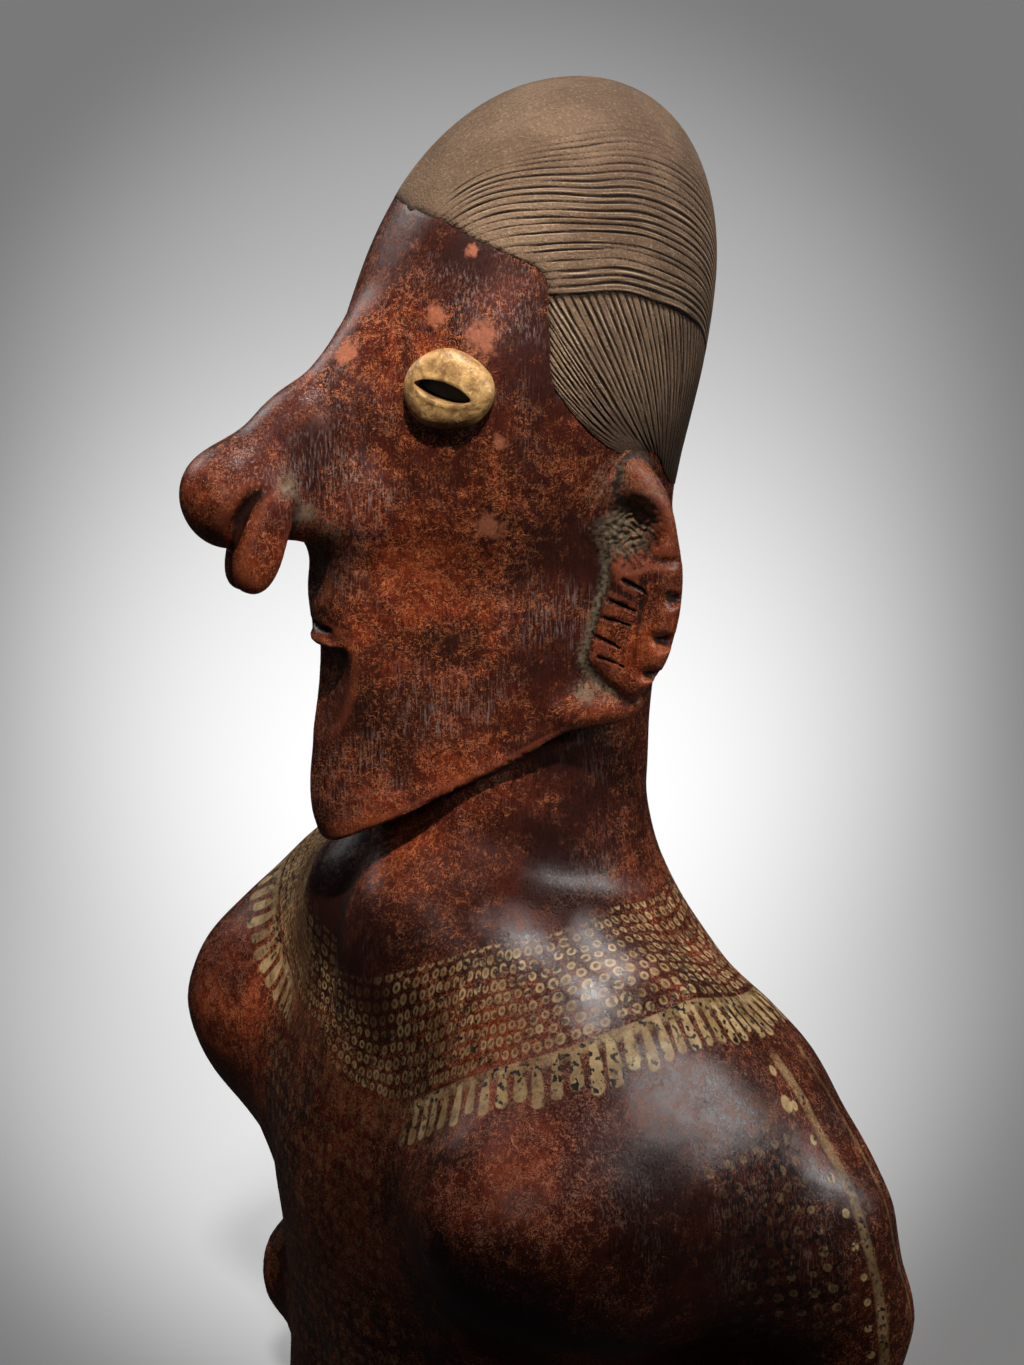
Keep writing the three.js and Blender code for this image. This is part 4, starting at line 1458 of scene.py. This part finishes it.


# Iron-rich clay slip, rubbed with a smooth stone before firing. To the eye that is a satin gloss broken by
# fine upright streaks, clouds from maroon to orange, thread-like root marks, and cream paint under specks.
# Its colour also carries painted shade, in hollows and where shadow falls, and greyish painted sheen on the
# shoulders.
class Slip(Finish):
    """Burnished red slip with its cream paint. Sizes are in millimetres."""

    # The yoke's rows of dots, its hanging strokes, the sleeve's dots, and the cells of scattered dots.
    row_height: float = 4.0
    stroke_pitch: float = 4.75
    sleeve_pitch: float = 8.5
    sleeve_cell: tuple[float, float] = (5.2, 5.6)
    chest_cell: tuple[float, float] = (4.6, 5.2)
    # The broad changes of colour, the clouds, the patches, the grain and the burnishing streaks.
    broad_size: float = 36.0
    cloud_size: float = 15.0
    patch_size: float = 8.0
    grain_size: float = 0.8
    streak_size: float = 0.5
    # Root marks are hair-fine in life and drawn about a quarter of a millimetre wide, so that they show.
    # Size of their loops, width as a share of the pattern's height, and twist.
    roots: tuple[Point, ...] = ((3.0, 0.03, 2.8), (1.7, 0.036, 1.8))

    def from_middle(self, place: Socket, cell: Socket, chance: Socket, sway: float, size: object) -> Socket:
        """Distance from the middle of a cell, which chance moves a little.

        Args:
            place: Place in cells.
            cell: The cell's number.
            chance: A chance value from 0 to 1.
            sway: How far the middle may move, as a share of the cell.
            size: The cell's size.

        Returns:
            The distance.
        """
        node = self.node
        middle = node("MULTIPLY_ADD", chance, sway, 0.5 - sway / 2)
        return node("MULTIPLY", node("SUBTRACT", node("SUBTRACT", place, cell), middle), size)

    def dot(self, du: Socket, dv: Socket, size: object, hollow: object) -> Socket:
        """One painted ring.

        Args:
            du: Distance from the dot's middle along the row.
            dv: Distance across it.
            size: Radius.
            hollow: How far its middle is worn open, 0 to 1.

        Returns:
            Its strength.
        """
        node = self.node
        off = node("SQRT", node("ADD", node("POWER", du, 2.0), node("POWER", dv, 2.0)))
        disc = node("RAMP", node("SUBTRACT", size, off), -0.25, 0.25)
        hole = node("RAMP", node("SUBTRACT", node("MULTIPLY", size, 0.5), off), -0.3, 0.35)
        return node("MULTIPLY", disc, node("SUBTRACT", 1.0, node("MULTIPLY", hole, hollow)))

    def scattered(self, u: Socket, v: Socket, cell: tuple[float, float], sway: tuple[float, float],
                  size: tuple[float, float], hollow: float, first: float) -> Socket:
        """Dots in the cells of a grid.

        Args:
            u: Place across.
            v: Place up.
            cell: Width and height of a cell.
            sway: How far a dot may move across and up, as shares of the cell.
            size: What chance adds to a dot's radius, and the least radius.
            hollow: How far each middle is worn open.
            first: Number of the first row.

        Returns:
            Their strength.
        """
        node = self.node
        column, row = node("DIVIDE", u, cell[0]), node("DIVIDE", v, cell[1])
        i, j = node("FLOOR", column), node("FLOOR", row)
        a, b, c = self.chances(i, node("ADD", j, first))
        du = self.from_middle(column, i, a, sway[0], cell[0])
        dv = self.from_middle(row, j, b, sway[1], cell[1])
        return self.dot(du, dv, node("MULTIPLY_ADD", c, *size), hollow)

    def yoke_dots(self) -> Socket:
        """Rows of ring dots over the yoke, squeezed where they crowd and larger on the far side.

        Returns:
            The paint's strength.
        """
        node, height = self.node, self.row_height
        inward = node("ATTRIBUTE", attribute_name="yoke_in")
        spacing = node("ATTRIBUTE", attribute_name="dot_pitch")
        wander = node("MULTIPLY_ADD", node("NOISE", self.where, 1 / 24, 3), 3.0, -1.5)
        row = node("DIVIDE", node("SUBTRACT", node("ADD", inward, wander), 2.2), height)
        index = node("FLOOR", row)
        lag = self.chances(index, 3.0)[0]
        wider = node("MULTIPLY_ADD", index, 0.05, 1.0)
        count = node("DIVIDE", node("ATTRIBUTE", attribute_name="dots"), wider)
        count = node("ADD", count, node("MULTIPLY", lag, 9.0))
        number = node("FLOOR", count)
        a, b, c = self.chances(number, index)
        squeeze = node("MULTIPLY_ADD", node("RAMP", spacing, 4.6, 2.6), 0.5, 0.92)
        du = node("MULTIPLY", self.from_middle(count, number, a, 0.2, spacing), squeeze)
        dv = self.from_middle(row, index, b, 0.26, height * 1.05)
        x = node("SPLIT", self.where)[0]
        size = node("MULTIPLY_ADD", node("RAMP", x, -25.0, -55.0), 0.5, node("MULTIPLY_ADD", c, 0.45, 1.25))
        ring = self.dot(du, dv, size, node("MULTIPLY_ADD", node("RAMP", a, 0.0, 0.6), 0.45, 0.5))
        area = node("MULTIPLY", node("RAMP", inward, 2.0, 2.6), node("RAMP", inward, 36.2, 35.8))
        thick = node("MULTIPLY_ADD", node("POWER", b, 2.0), 0.4, 0.6)
        return node("MULTIPLY", node("MULTIPLY", ring, area), thick)

    def fringe(self) -> Socket:
        """The yoke's hanging strokes and the band that they hang from, both faint on the chest.

        Returns:
            The paint's strength.
        """
        node, pitch = self.node, self.stroke_pitch
        inward = node("ATTRIBUTE", attribute_name="yoke_in")
        wander = node("MULTIPLY", node("NOISE", self.where, 1 / 19, 3), 2.4)
        count = node("DIVIDE", node("ADD", node("ATTRIBUTE", attribute_name="yoke_along"), wander), pitch)
        number = node("FLOOR", count)
        a, b, c = self.chances(number, 7.0)
        beside = self.from_middle(count, number, b, 0.12, pitch)
        length = node("MULTIPLY_ADD", a, 3.4, 10.0)
        swell = node("MULTIPLY_ADD", node("RAMP", inward, 0.0, -8.0), 0.4, 0.75)
        width = node("MULTIPLY", node("MULTIPLY_ADD", c, 0.5, 1.15), swell)
        below = node("SUBTRACT", node("MULTIPLY", inward, -1.0), node("SUBTRACT", length, width))
        below = node("MAXIMUM", below, 0.0)
        off = node("SQRT", node("ADD", node("POWER", beside, 2.0), node("POWER", below, 2.0)))
        stroke = node("RAMP", node("SUBTRACT", width, off), -0.25, 0.3)
        stroke = node("MULTIPLY", stroke, node("RAMP", inward, 0.8, -0.6))
        stroke = node("MULTIPLY", stroke, node("MULTIPLY_ADD", b, 0.4, 0.6))
        band = node("MULTIPLY", node("RAMP", inward, -3.0, -0.8), node("RAMP", inward, 1.5, 0.9))
        x = node("SPLIT", self.where)[0]
        chest = node("MULTIPLY", node("RAMP", x, 46.5, 43.5), node("RAMP", x, -34.0, -28.0))
        both = node("MAXIMUM", stroke, node("MULTIPLY", band, 0.5))
        return node("MULTIPLY", both, node("MULTIPLY_ADD", chest, -0.88, 1.0))

    def sleeve(self) -> tuple[Socket, Socket]:
        """Stripes and dots down each upper arm.

        Returns:
            Strength of the paint, and of the speckled area.
        """
        node, pitch = self.node, self.sleeve_pitch
        x, _, z = node("SPLIT", self.where)
        u = node("ATTRIBUTE", attribute_name="sleeve")
        arm = node("MULTIPLY", node("RAMP", node("ABSOLUTE", x), 60.0, 66.0),
                   node("RAMP", node("ATTRIBUTE", attribute_name="yoke_in"), -17.0, -19.0))
        sway = node("MULTIPLY", node("SUBTRACT", node("NOISE", self.where, 1 / 14, 3), 0.5), 1.6)
        swayed = node("ADD", u, sway)
        first = node("RAMP", node("ABSOLUTE", swayed), 2.2, 1.0)
        second = node("RAMP", node("ABSOLUTE", node("SUBTRACT", swayed, 15.0)), 1.3, 0.7)
        count = node("DIVIDE", node("ADD", z, 1.0), pitch)
        number = node("FLOOR", count)
        a, b, _ = self.chances(number, 11.0)
        beside = node("ADD", u, node("MULTIPLY_ADD", b, 0.8, 3.6))
        row = self.dot(beside, self.from_middle(count, number, a, 0.2, pitch), 1.15, 0.3)
        big = self.dot(node("ADD", u, 6.8), node("SUBTRACT", z, 131.8), 2.0, 0.2)
        field = self.scattered(u, z, self.sleeve_cell, (0.3, 0.3), (0.5, 1.0), 0.5, 0.0)
        around = node("MULTIPLY", node("RAMP", u, -8.0, -10.0), node("RAMP", u, -46.0, -36.0))
        upright = node("MULTIPLY", node("RAMP", z, 134.0, 126.0), node("RAMP", z, 60.0, 90.0))
        zone = node("MULTIPLY", node("MULTIPLY", around, upright), arm)
        stripes = node("MULTIPLY", node("MAXIMUM", first, node("MULTIPLY", second, 0.6)), 0.34)
        paint = node("MAXIMUM", stripes, node("MAXIMUM", row, big))
        paint = node("MULTIPLY", paint, node("MULTIPLY", arm, node("RAMP", z, 40.0, 60.0)))
        return node("MAXIMUM", paint, node("MULTIPLY", node("MULTIPLY", field, zone), 0.32)), zone

    def chest(self) -> Socket:
        """Faint columns of dots down the chest.

        Returns:
            The paint's strength.
        """
        node = self.node
        x, y, z = node("SPLIT", self.where)
        ring = self.scattered(node("ADD", x, 2.0), z, self.chest_cell, (0.16, 0.2), (0.4, 0.95), 0.6, 40.0)
        zone = node("MULTIPLY", node("RAMP", node("ABSOLUTE", x), 42.0, 38.0), node("RAMP", y, -28.0, -34.0))
        below = node("RAMP", node("ATTRIBUTE", attribute_name="yoke_in"), -15.0, -18.0)
        zone = node("MULTIPLY", zone, node("MULTIPLY", below, node("RAMP", z, 24.0, 40.0)))
        return node("MULTIPLY", node("MULTIPLY", ring, zone), 0.34)

    def build(self) -> bpy.types.Material:
        """Lays out the nodes.

        Returns:
            The material.
        """
        node, where = self.node, self.where
        broad = node("NOISE", where, 1 / self.broad_size, 3, 0.5, 0.4)
        patch = node("NOISE", where, 1 / self.patch_size, 6, 0.66, 0.7)
        cloud = node("NOISE", where, 1 / self.cloud_size, 6, 0.66, 0.3)
        grain = node("NOISE", where, 1 / self.grain_size, 4, 0.75, 0.6)
        # The stone was drawn up and down, so the streaks are ten times as long as wide.
        streak = node("NOISE", node("STRETCH", where, (1.0, 1.0, 0.1)), 1 / self.streak_size, 4, 0.7, 0.3)
        names = ("warm", "dark_and_shade", "dust", "rub", "scuffs_and_sheen", "bend")
        warm, dark_and_shade, dusty, rubbed, scuff_and_sheen_spots, bend = (node("ATTRIBUTE", attribute_name=name) for name in names)
        # Painted shade in part: the dark spots, many of them laid where shadow falls, darken the slip's
        # colour.
        tint = node("MULTIPLY_ADD", warm, 0.3, node("MULTIPLY", dark_and_shade, -0.3))
        heat = node("ADD", tint, node("ADD", patch, node("MULTIPLY", broad, 0.4)))
        heat = node("MULTIPLY_ADD", streak, 0.3, node("ADD", heat, -0.49))
        heat = node("MULTIPLY_ADD", grain, 0.65, heat)
        # Random near-black clouds, denser over the dark spots: painted shade there.
        shade = node("MULTIPLY_ADD", dark_and_shade, 0.22, node("MULTIPLY", warm, -0.12))
        clouds_and_shade = node("RAMP", node("ADD", cloud, shade), 0.46, 0.72)
        lines = []
        for size, width, twist in self.roots:
            path = node("ABSOLUTE", node("SUBTRACT", node("NOISE", where, 1 / size, 2, 0.5, twist), 0.5))
            broken = node("RAMP", node("NOISE", where, 1 / (size * 1.3), 3, 0.6), 0.46, 0.53)
            lines.append(node("MULTIPLY", node("RAMP", path, width, width * 0.3), broken))
        thread = node("MAXIMUM", lines[0], node("MULTIPLY", lines[1], 0.75))
        thread = node("MULTIPLY", thread, node("RAMP", heat, 0.4, 0.9))
        # Painted sheen in part: greyish streaks are laid where the shoulders and the saddle catch the light.
        scuffs_and_sheen = node("ADD", node("MULTIPLY", scuff_and_sheen_spots, 0.28), node("NOISE", where, 1 / 14, 4, 0.6))
        scratch_and_sheen = node("MULTIPLY", node("RAMP", streak, 0.5, 0.66), node("RAMP", scuffs_and_sheen, 0.5, 0.78))
        rub = node("MULTIPLY_ADD", node("NOISE", where, 1 / 2.6, 5, 0.7), 1.8, -0.9)
        rub = node("RAMP", node("ADD", rubbed, rub), 0.35, 0.85)
        worn = node("RAMP", node("ADD", bend, node("MULTIPLY_ADD", patch, 2.0, -1.0)), 1.0, 2.8)
        # Painted shade: hollow, concave places are coloured almost black.
        crease_shade = node("RAMP", node("ADD", bend, node("MULTIPLY_ADD", grain, 1.2, -0.6)), -0.7, -2.4)
        sleeve, speckled = self.sleeve()
        paint = node("MAXIMUM", node("MAXIMUM", self.yoke_dots(), self.fringe()),
                     node("MAXIMUM", sleeve, self.chest()))
        wear = node("ADD", node("NOISE", where, 1 / 5, 5, 0.65), node("MULTIPLY", grain, 0.4))
        paint = node("MULTIPLY", paint, node("MULTIPLY_ADD", node("RAMP", wear, 0.52, 0.8), 0.35, 0.62))
        # Painted shade: the paint fades under the dark spots, as it does where shadow falls on it.
        dark_and_shade_mask = node("RAMP", dark_and_shade, 0.3, 0.9)
        paint = node("MULTIPLY", paint, node("MULTIPLY_ADD", dark_and_shade_mask, -0.8, 1.0))
        specks = node("RAMP", node("NOISE", where, 1 / 1.6, 2), 0.545, 0.58)
        area = node("MULTIPLY", node("RAMP", cloud, 0.38, 0.5), node("RAMP", paint, 0.1, 0.35))
        area = node("MAXIMUM", area, node("MULTIPLY", speckled, 0.9))
        dust = node("MULTIPLY_ADD", node("NOISE", where, 1 / 1.1, 5, 0.75), 2.2, -1.1)
        dust = node("RAMP", node("ADD", dusty, dust), 0.35, 1.0)
        dust = node("MULTIPLY", dust, node("MULTIPLY_ADD", dusty, 0.35, 0.3))
        base = self.layers(
            node("BLEND", node("RAMP", broad, 0.35, 0.65), "#33160F", "#4A1D13"),
            (node("RAMP", heat, 0.66, 1.1), 1.0, "#7C321B"),
            (node("RAMP", heat, 0.92, 1.25), 0.6, "#AA5129"),
            (clouds_and_shade, 0.68, "#20110F"),
            (node("RAMP", grain, 0.47, 0.36), 0.5, "#1E0E0A"),
            (thread, 0.92, "#C4703F"),
            (scratch_and_sheen, 0.45, "#857770"),
            (node("RAMP", streak, 0.46, 0.34), 0.4, "#190C0C"),
            (rub, 0.72, node("BLEND", grain, "#6A3324", "#B87252")),
            (worn, 0.4, "#86432A"),
            (crease_shade, 0.85, "#140D0C"),
            (paint, 1.0, node("BLEND", node("RAMP", patch, 0.3, 0.7), "#957343", "#DABE88")),
            (specks, area, "#15100E"),
            (dust, 1.0, node("BLEND", grain, "#43382D", "#A08C6E")))
        rough = node("MULTIPLY_ADD", streak, 0.3, node("MULTIPLY_ADD", grain, 0.2, -0.02))
        dull = node("MAXIMUM", dust, node("MAXIMUM", thread, crease_shade))
        rough = node("ADD", rough, node("MULTIPLY", dull, 0.3))
        rough = node("ADD", rough, node("MULTIPLY_ADD", dark_and_shade_mask, 0.08, node("MULTIPLY", paint, 0.1)))
        height = node("MULTIPLY_ADD", node("NOISE", where, 1 / 13, 2), 0.4, node("MULTIPLY", streak, 0.06))
        height = node("MULTIPLY_ADD", grain, 0.06, height)
        height = node("ADD", height, node("MULTIPLY", thread, -0.06))
        crust = node("MULTIPLY", node("MULTIPLY", dust, node("NOISE", where, 1 / 1.7, 3)), 0.5)
        return self.dress(base, rough, node("ADD", height, crust))


# Low-fired clay with sand in it, left bare and combed while wet. To the eye that is dry matt buff grit,
# coloured darker in the lines and paler on the burrs beside them, with painted shade towards the nape.
class Clay(Finish):
    """Bare sandy clay of the hair. Sizes are in millimetres."""

    # Width and length of the comb's drag marks, then the grit, the dabs and the broad changes of colour.
    drag: tuple[float, float] = (0.8, 16.0)
    grit_size: float = 0.85
    dab_size: float = 3.4
    broad_size: float = 22.0

    def build(self) -> bpy.types.Material:
        """Lays out the nodes.

        Returns:
            The material.
        """
        node, where = self.node, self.where
        names = ("groove", "across", "run")
        groove, across, run = (node("ATTRIBUTE", attribute_name=name) for name in names)
        combed = node("CELL", node("DIVIDE", across, self.drag[0]), node("DIVIDE", run, self.drag[1]))
        fine = node("NOISE", combed, 1.0, 3, 0.6)
        grit = node("NOISE", where, 1 / self.grit_size, 3, 0.75)
        broad = node("NOISE", where, 1 / self.broad_size, 4, 0.6, 0.5)
        line_darkening = node("ADD", groove, node("MULTIPLY_ADD", grit, 1.2, -0.6))
        _, y, z = node("SPLIT", where)
        # Painted shade: the hair is coloured darker towards the nape and the back.
        nape = node("MULTIPLY_ADD", broad, 16.0, node("MULTIPLY_ADD", y, -0.25, z))
        base = self.layers(
            node("BLEND", node("RAMP", broad, 0.35, 0.65), "#5B4635", "#705945"),
            (node("RAMP", grit, 0.5, 0.3), 0.6, "#4B3A2D"),
            (node("RAMP", grit, 0.54, 0.72), 0.55, "#A89077"),
            (node("RAMP", fine, 0.42, 0.3), 0.5, "#4A382B"),
            (node("RAMP", groove, -0.01, -0.1), 0.6, "#AE967B"),
            (node("RAMP", line_darkening, 0.12, 0.42), 0.92, "#1C130E"),
            (node("RAMP", nape, 320.0, 292.0), 0.78, "#2A1D16"))
        dabs = node("MULTIPLY", node("NOISE", where, 1 / self.dab_size, 5, 0.7), 0.5)
        height = node("MULTIPLY_ADD", fine, 0.22, node("MULTIPLY_ADD", grit, 0.4, dabs))
        self.shader.inputs["Specular IOR Level"].default_value = 0.25
        return self.dress(base, 0.92, height)


# Thin pale slip over the clay of the eye pellets. To the eye that is a chalky cream with a low sheen, redder
# and darker towards its foot, stained brown in the pores, and painted almost black in the slit as painted
# shade.
class EyeSlip(Finish):
    """Cream slip of the eyes. Sizes are in millimetres."""

    patch_size: float = 3.4
    grain_size: float = 0.9

    def build(self) -> bpy.types.Material:
        """Lays out the nodes.

        Returns:
            The material.
        """
        node, where = self.node, self.where
        z = node("SPLIT", where)[2]
        patch = node("NOISE", where, 1 / self.patch_size, 5, 0.65, 0.5)
        grain = node("NOISE", where, 1 / self.grain_size, 3, 0.7)
        low = node("ADD", node("MULTIPLY", z, 0.1), node("MULTIPLY", patch, 1.6))
        base = self.layers(
            node("BLEND", node("RAMP", patch, 0.35, 0.65), "#6E4D2E", "#A37E4C"),
            (node("RAMP", grain, 0.55, 0.72), 0.45, "#CDB380"),
            (node("RAMP", low, 31.5, 30.7), 0.6, "#7A4630"),
            (node("RAMP", grain, 0.44, 0.3), 0.5, "#4E3421"),
            # Painted shade: the slit is coloured almost black.
            (node("RAMP", node("ATTRIBUTE", attribute_name="slit"), 0.3, 0.85), 0.97, "#130A07"))
        height = node("MULTIPLY_ADD", patch, 0.35, node("MULTIPLY", grain, 0.1))
        return self.dress(base, node("MULTIPLY_ADD", grain, 0.25, 0.3), height)


# Uncoated backdrop paper. To the eye that is an even pale grey with no gloss at all.
class Paper(Finish):
    """Plain matt pale paper."""

    def build(self) -> bpy.types.Material:
        """Sets its one colour.

        Returns:
            The material.
        """
        self.shader.inputs["Base Color"].default_value = colour("#E4E4E4")
        self.shader.inputs["Roughness"].default_value = 1.0
        self.shader.inputs["Specular IOR Level"].default_value = 0.0
        return self.material


@dataclass(frozen=True)
class Lamp:
    """One light: its kind, where it hangs and looks, its watts (a sun's strength) and its size.

    A panel's size is its width and height, a beam's its radius and a sun's its angle in degrees.
    """

    name: str
    kind: Source
    place: Point
    aim: Point
    power: float
    size: float | tuple[float, float]
    # A beam's whole angle in degrees, the softness of its rim, and a panel's turn about its own axis.
    cone: float = 0.0
    rim: float = 1.0
    roll: float = 0.0
    # Whether it shows in reflections.
    gleams: bool = True

    def hang(self, lit: bpy.types.Collection, shaded: bpy.types.Collection | None = None) -> None:
        """Adds the light.

        Args:
            lit: What it lights.
            shaded: What casts its shadows, where that isn't everything.
        """
        data = bpy.data.lights.new(self.name, self.kind.value)
        data.energy = self.power
        if self.kind is Source.PANEL:
            data.shape = "RECTANGLE"
            data.size, data.size_y = self.size
        elif self.kind is Source.BEAM:
            data.shadow_soft_size = self.size
            data.spot_size = math.radians(self.cone)
            data.spot_blend = self.rim
        else:
            data.angle = math.radians(self.size)
        lamp = bpy.data.objects.new(self.name, data)
        lamp.location = self.place
        lamp.rotation_mode = "QUATERNION"
        facing = (Vector(self.aim) - Vector(self.place)).to_track_quat("-Z", "Y")
        lamp.rotation_quaternion = facing @ Quaternion((0, 0, 1), math.radians(self.roll))
        lamp.visible_glossy = self.gleams
        lamp.light_linking.receiver_collection = lit
        lamp.light_linking.blocker_collection = shaded
        bpy.context.scene.collection.objects.link(lamp)


@dataclass(frozen=True)
class Studio:
    """Pale floor, soft light from overhead, two bright patches behind, and the camera, in metres."""

    target: Point = (0.0, MIDDLE_SHIFT * MM, 0.222)
    azimuth: float = 65.0
    elevation: float = 19.0
    distance: float = 1.135
    # A focal length of 4370 pixels on a frame 1365 pixels high, on a 36 mm sensor.
    focal: float = 36 * 4370 / 1365
    sensor: float = 36.0
    # The floor's rings, as radius and height, and how many steps go round.
    rings: Curve = ((3.6, 0.0), (4.2, 0.06), (5.0, 0.27), (7.0, 1.1), (12.0, 3.6))
    turns: int = 96
    sky: float = 0.012
    figure_lamps: tuple[Lamp, ...] = (
        Lamp("top", Source.PANEL, (0.0, 0.06, 1.3), (0.0, 0.0, 0.26), 9.5, (0.12, 0.12)),
        Lamp("top_back", Source.PANEL, (-0.5, 0.6, 1.1), (0.0, 0.0, 0.2), 5.0, (0.2, 0.2)),
        Lamp("strip", Source.PANEL, (0.673, 0.736, 0.723), (0.09, 0.01, 0.14), 7.0, (1.2, 0.06), roll=-35.0),
        Lamp("side", Source.PANEL, (1.0, -0.9, 0.8), (0.0, 0.0, 0.24), 0.75, (0.4, 0.4)),
        Lamp("front", Source.PANEL, (0.1, -0.7, 1.1), (0.0, 0.0, 0.24), 0.35, (0.25, 0.25)),
        Lamp("far_side", Source.PANEL, (-1.1, -0.4, 0.8), (0.0, 0.0, 0.2), 2.4, (0.5, 0.5)),
        Lamp("face", Source.BEAM, (0.47, -0.19, 1.16), (0.012, -0.012, 0.27), 88.0, 0.04, cone=8.2, rim=0.5,
             gleams=False))
    wash: Lamp = Lamp("wash", Source.FAR, (1.0, -0.5, 1.6), (0.0, 0.0, 0.0), 0.9, 8.0)
    halos: tuple[Lamp, ...] = (
        Lamp("halo_near", Source.BEAM, (1.055, -0.483, 0.627), (-0.415, 0.179, 0.0), 198.0, 0.02, 16.41),
        Lamp("halo_far", Source.BEAM, (2.190, -1.003, 0.964), (-0.96, 0.44, 0.0), 922.0, 0.02, 9.65))

    def back(self) -> Vector:
        """Unit vector from the target to the camera."""
        a, e = math.radians(self.azimuth), math.radians(self.elevation)
        return Vector((math.sin(a) * math.cos(e), -math.cos(a) * math.cos(e), math.sin(e)))

    def floor(self) -> bpy.types.Object:
        """The pale floor: flat round the figure, rising gently far off, so that no view shows a horizon.

        Returns:
            The floor.
        """
        turns = self.turns
        points = [(r * math.cos(a), r * math.sin(a), z) for r, z in self.rings
                  for a in np.arange(turns) * 2 * math.pi / turns]
        faces = [tuple(range(turns))]
        for start in range(0, (len(self.rings) - 1) * turns, turns):
            for i in range(turns):
                a, b = start + i, start + (i + 1) % turns
                faces.append((a, a + turns, b + turns, b))
        mesh = bpy.data.meshes.new("floor")
        mesh.from_pydata(points, [], faces)
        mesh.polygons.foreach_set("use_smooth", [False] + [True] * (len(faces) - 1))
        floor = bpy.data.objects.new("floor", mesh)
        bpy.context.scene.collection.objects.link(floor)
        floor.data.materials.append(Paper("matt pale paper").build())
        # Its bounce and its reflection would lift the deep shadows under the chin and arms.
        floor.visible_diffuse = False
        floor.visible_glossy = False
        return floor

    def camera(self) -> None:
        """Adds the camera."""
        back = self.back()
        data = bpy.data.cameras.new("camera")
        data.lens = self.focal
        data.sensor_width = self.sensor
        camera = bpy.data.objects.new("camera", data)
        camera.location = Vector(self.target) + back * self.distance
        camera.rotation_mode = "QUATERNION"
        camera.rotation_quaternion = (-back).to_track_quat("-Z", "Y")
        bpy.context.scene.collection.objects.link(camera)
        bpy.context.scene.camera = camera

    @staticmethod
    def group(name: str, members: Sequence[bpy.types.Object]) -> bpy.types.Collection:
        """A collection for light linking.

        Args:
            name: Its name.
            members: The objects in it.

        Returns:
            The collection.
        """
        group = bpy.data.collections.new(name)
        for member in members:
            group.objects.link(member)
        return group

    def build(self, pieces: Sequence[bpy.types.Object]) -> None:
        """Adds camera, floor, lights and world.

        Args:
            pieces: The figure's pieces.
        """
        scene = bpy.context.scene
        self.camera()
        on_floor = self.group("lit_floor", [self.floor()])
        on_figure = self.group("lit_figure", pieces)
        for lamp in self.figure_lamps:
            lamp.hang(on_figure)
        self.wash.hang(on_floor)
        for lamp in self.halos:
            lamp.hang(on_floor, on_floor)
        scene.view_settings.view_transform = "Standard"
        scene.world = bpy.data.worlds.new("world")
        scene.world.use_nodes = True
        sky = scene.world.node_tree.nodes["Background"]
        sky.inputs["Color"].default_value = (1, 1, 1, 1)
        sky.inputs["Strength"].default_value = self.sky


def main() -> None:
    """Builds every piece, the stage, the lights and the camera."""
    hair = Hair()
    head = HeadForm()
    maker = Bust()
    bust = maker.build(hair)

    def figure(p: Triple) -> Array:
        """Distance to the whole figure."""
        return np.minimum(np.minimum(head.field(p), maker.body.field(p)), maker.ear.field(mirrored(p)))

    Marks().spread(bust, figure, maker.ear)
    bust.data.materials.clear()
    slip = Slip("burnished red slip").build()
    clay = Clay("bare sandy clay").build()
    cream = EyeSlip("cream eye slip").build()
    pieces = [(bust, slip), (hair.crown(head), clay), (hair.lower(head, Side.LEFT), clay),
              (hair.lower(head, Side.RIGHT), clay), (Eye().build(head, Side.LEFT, 0.0), cream),
              (Eye().build(head, Side.RIGHT, 6.5), cream)]
    for piece, finish in pieces:
        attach(piece, "root")
        piece.data.materials.append(finish)
        LOG.info("%s: %d faces", piece.name, len(piece.data.polygons))
    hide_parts("figure_bust")
    Studio().build([piece for piece, _ in pieces])


if __name__ == "__main__":
    logging.basicConfig(level=logging.INFO, format="%(name)s: %(message)s")
    main()
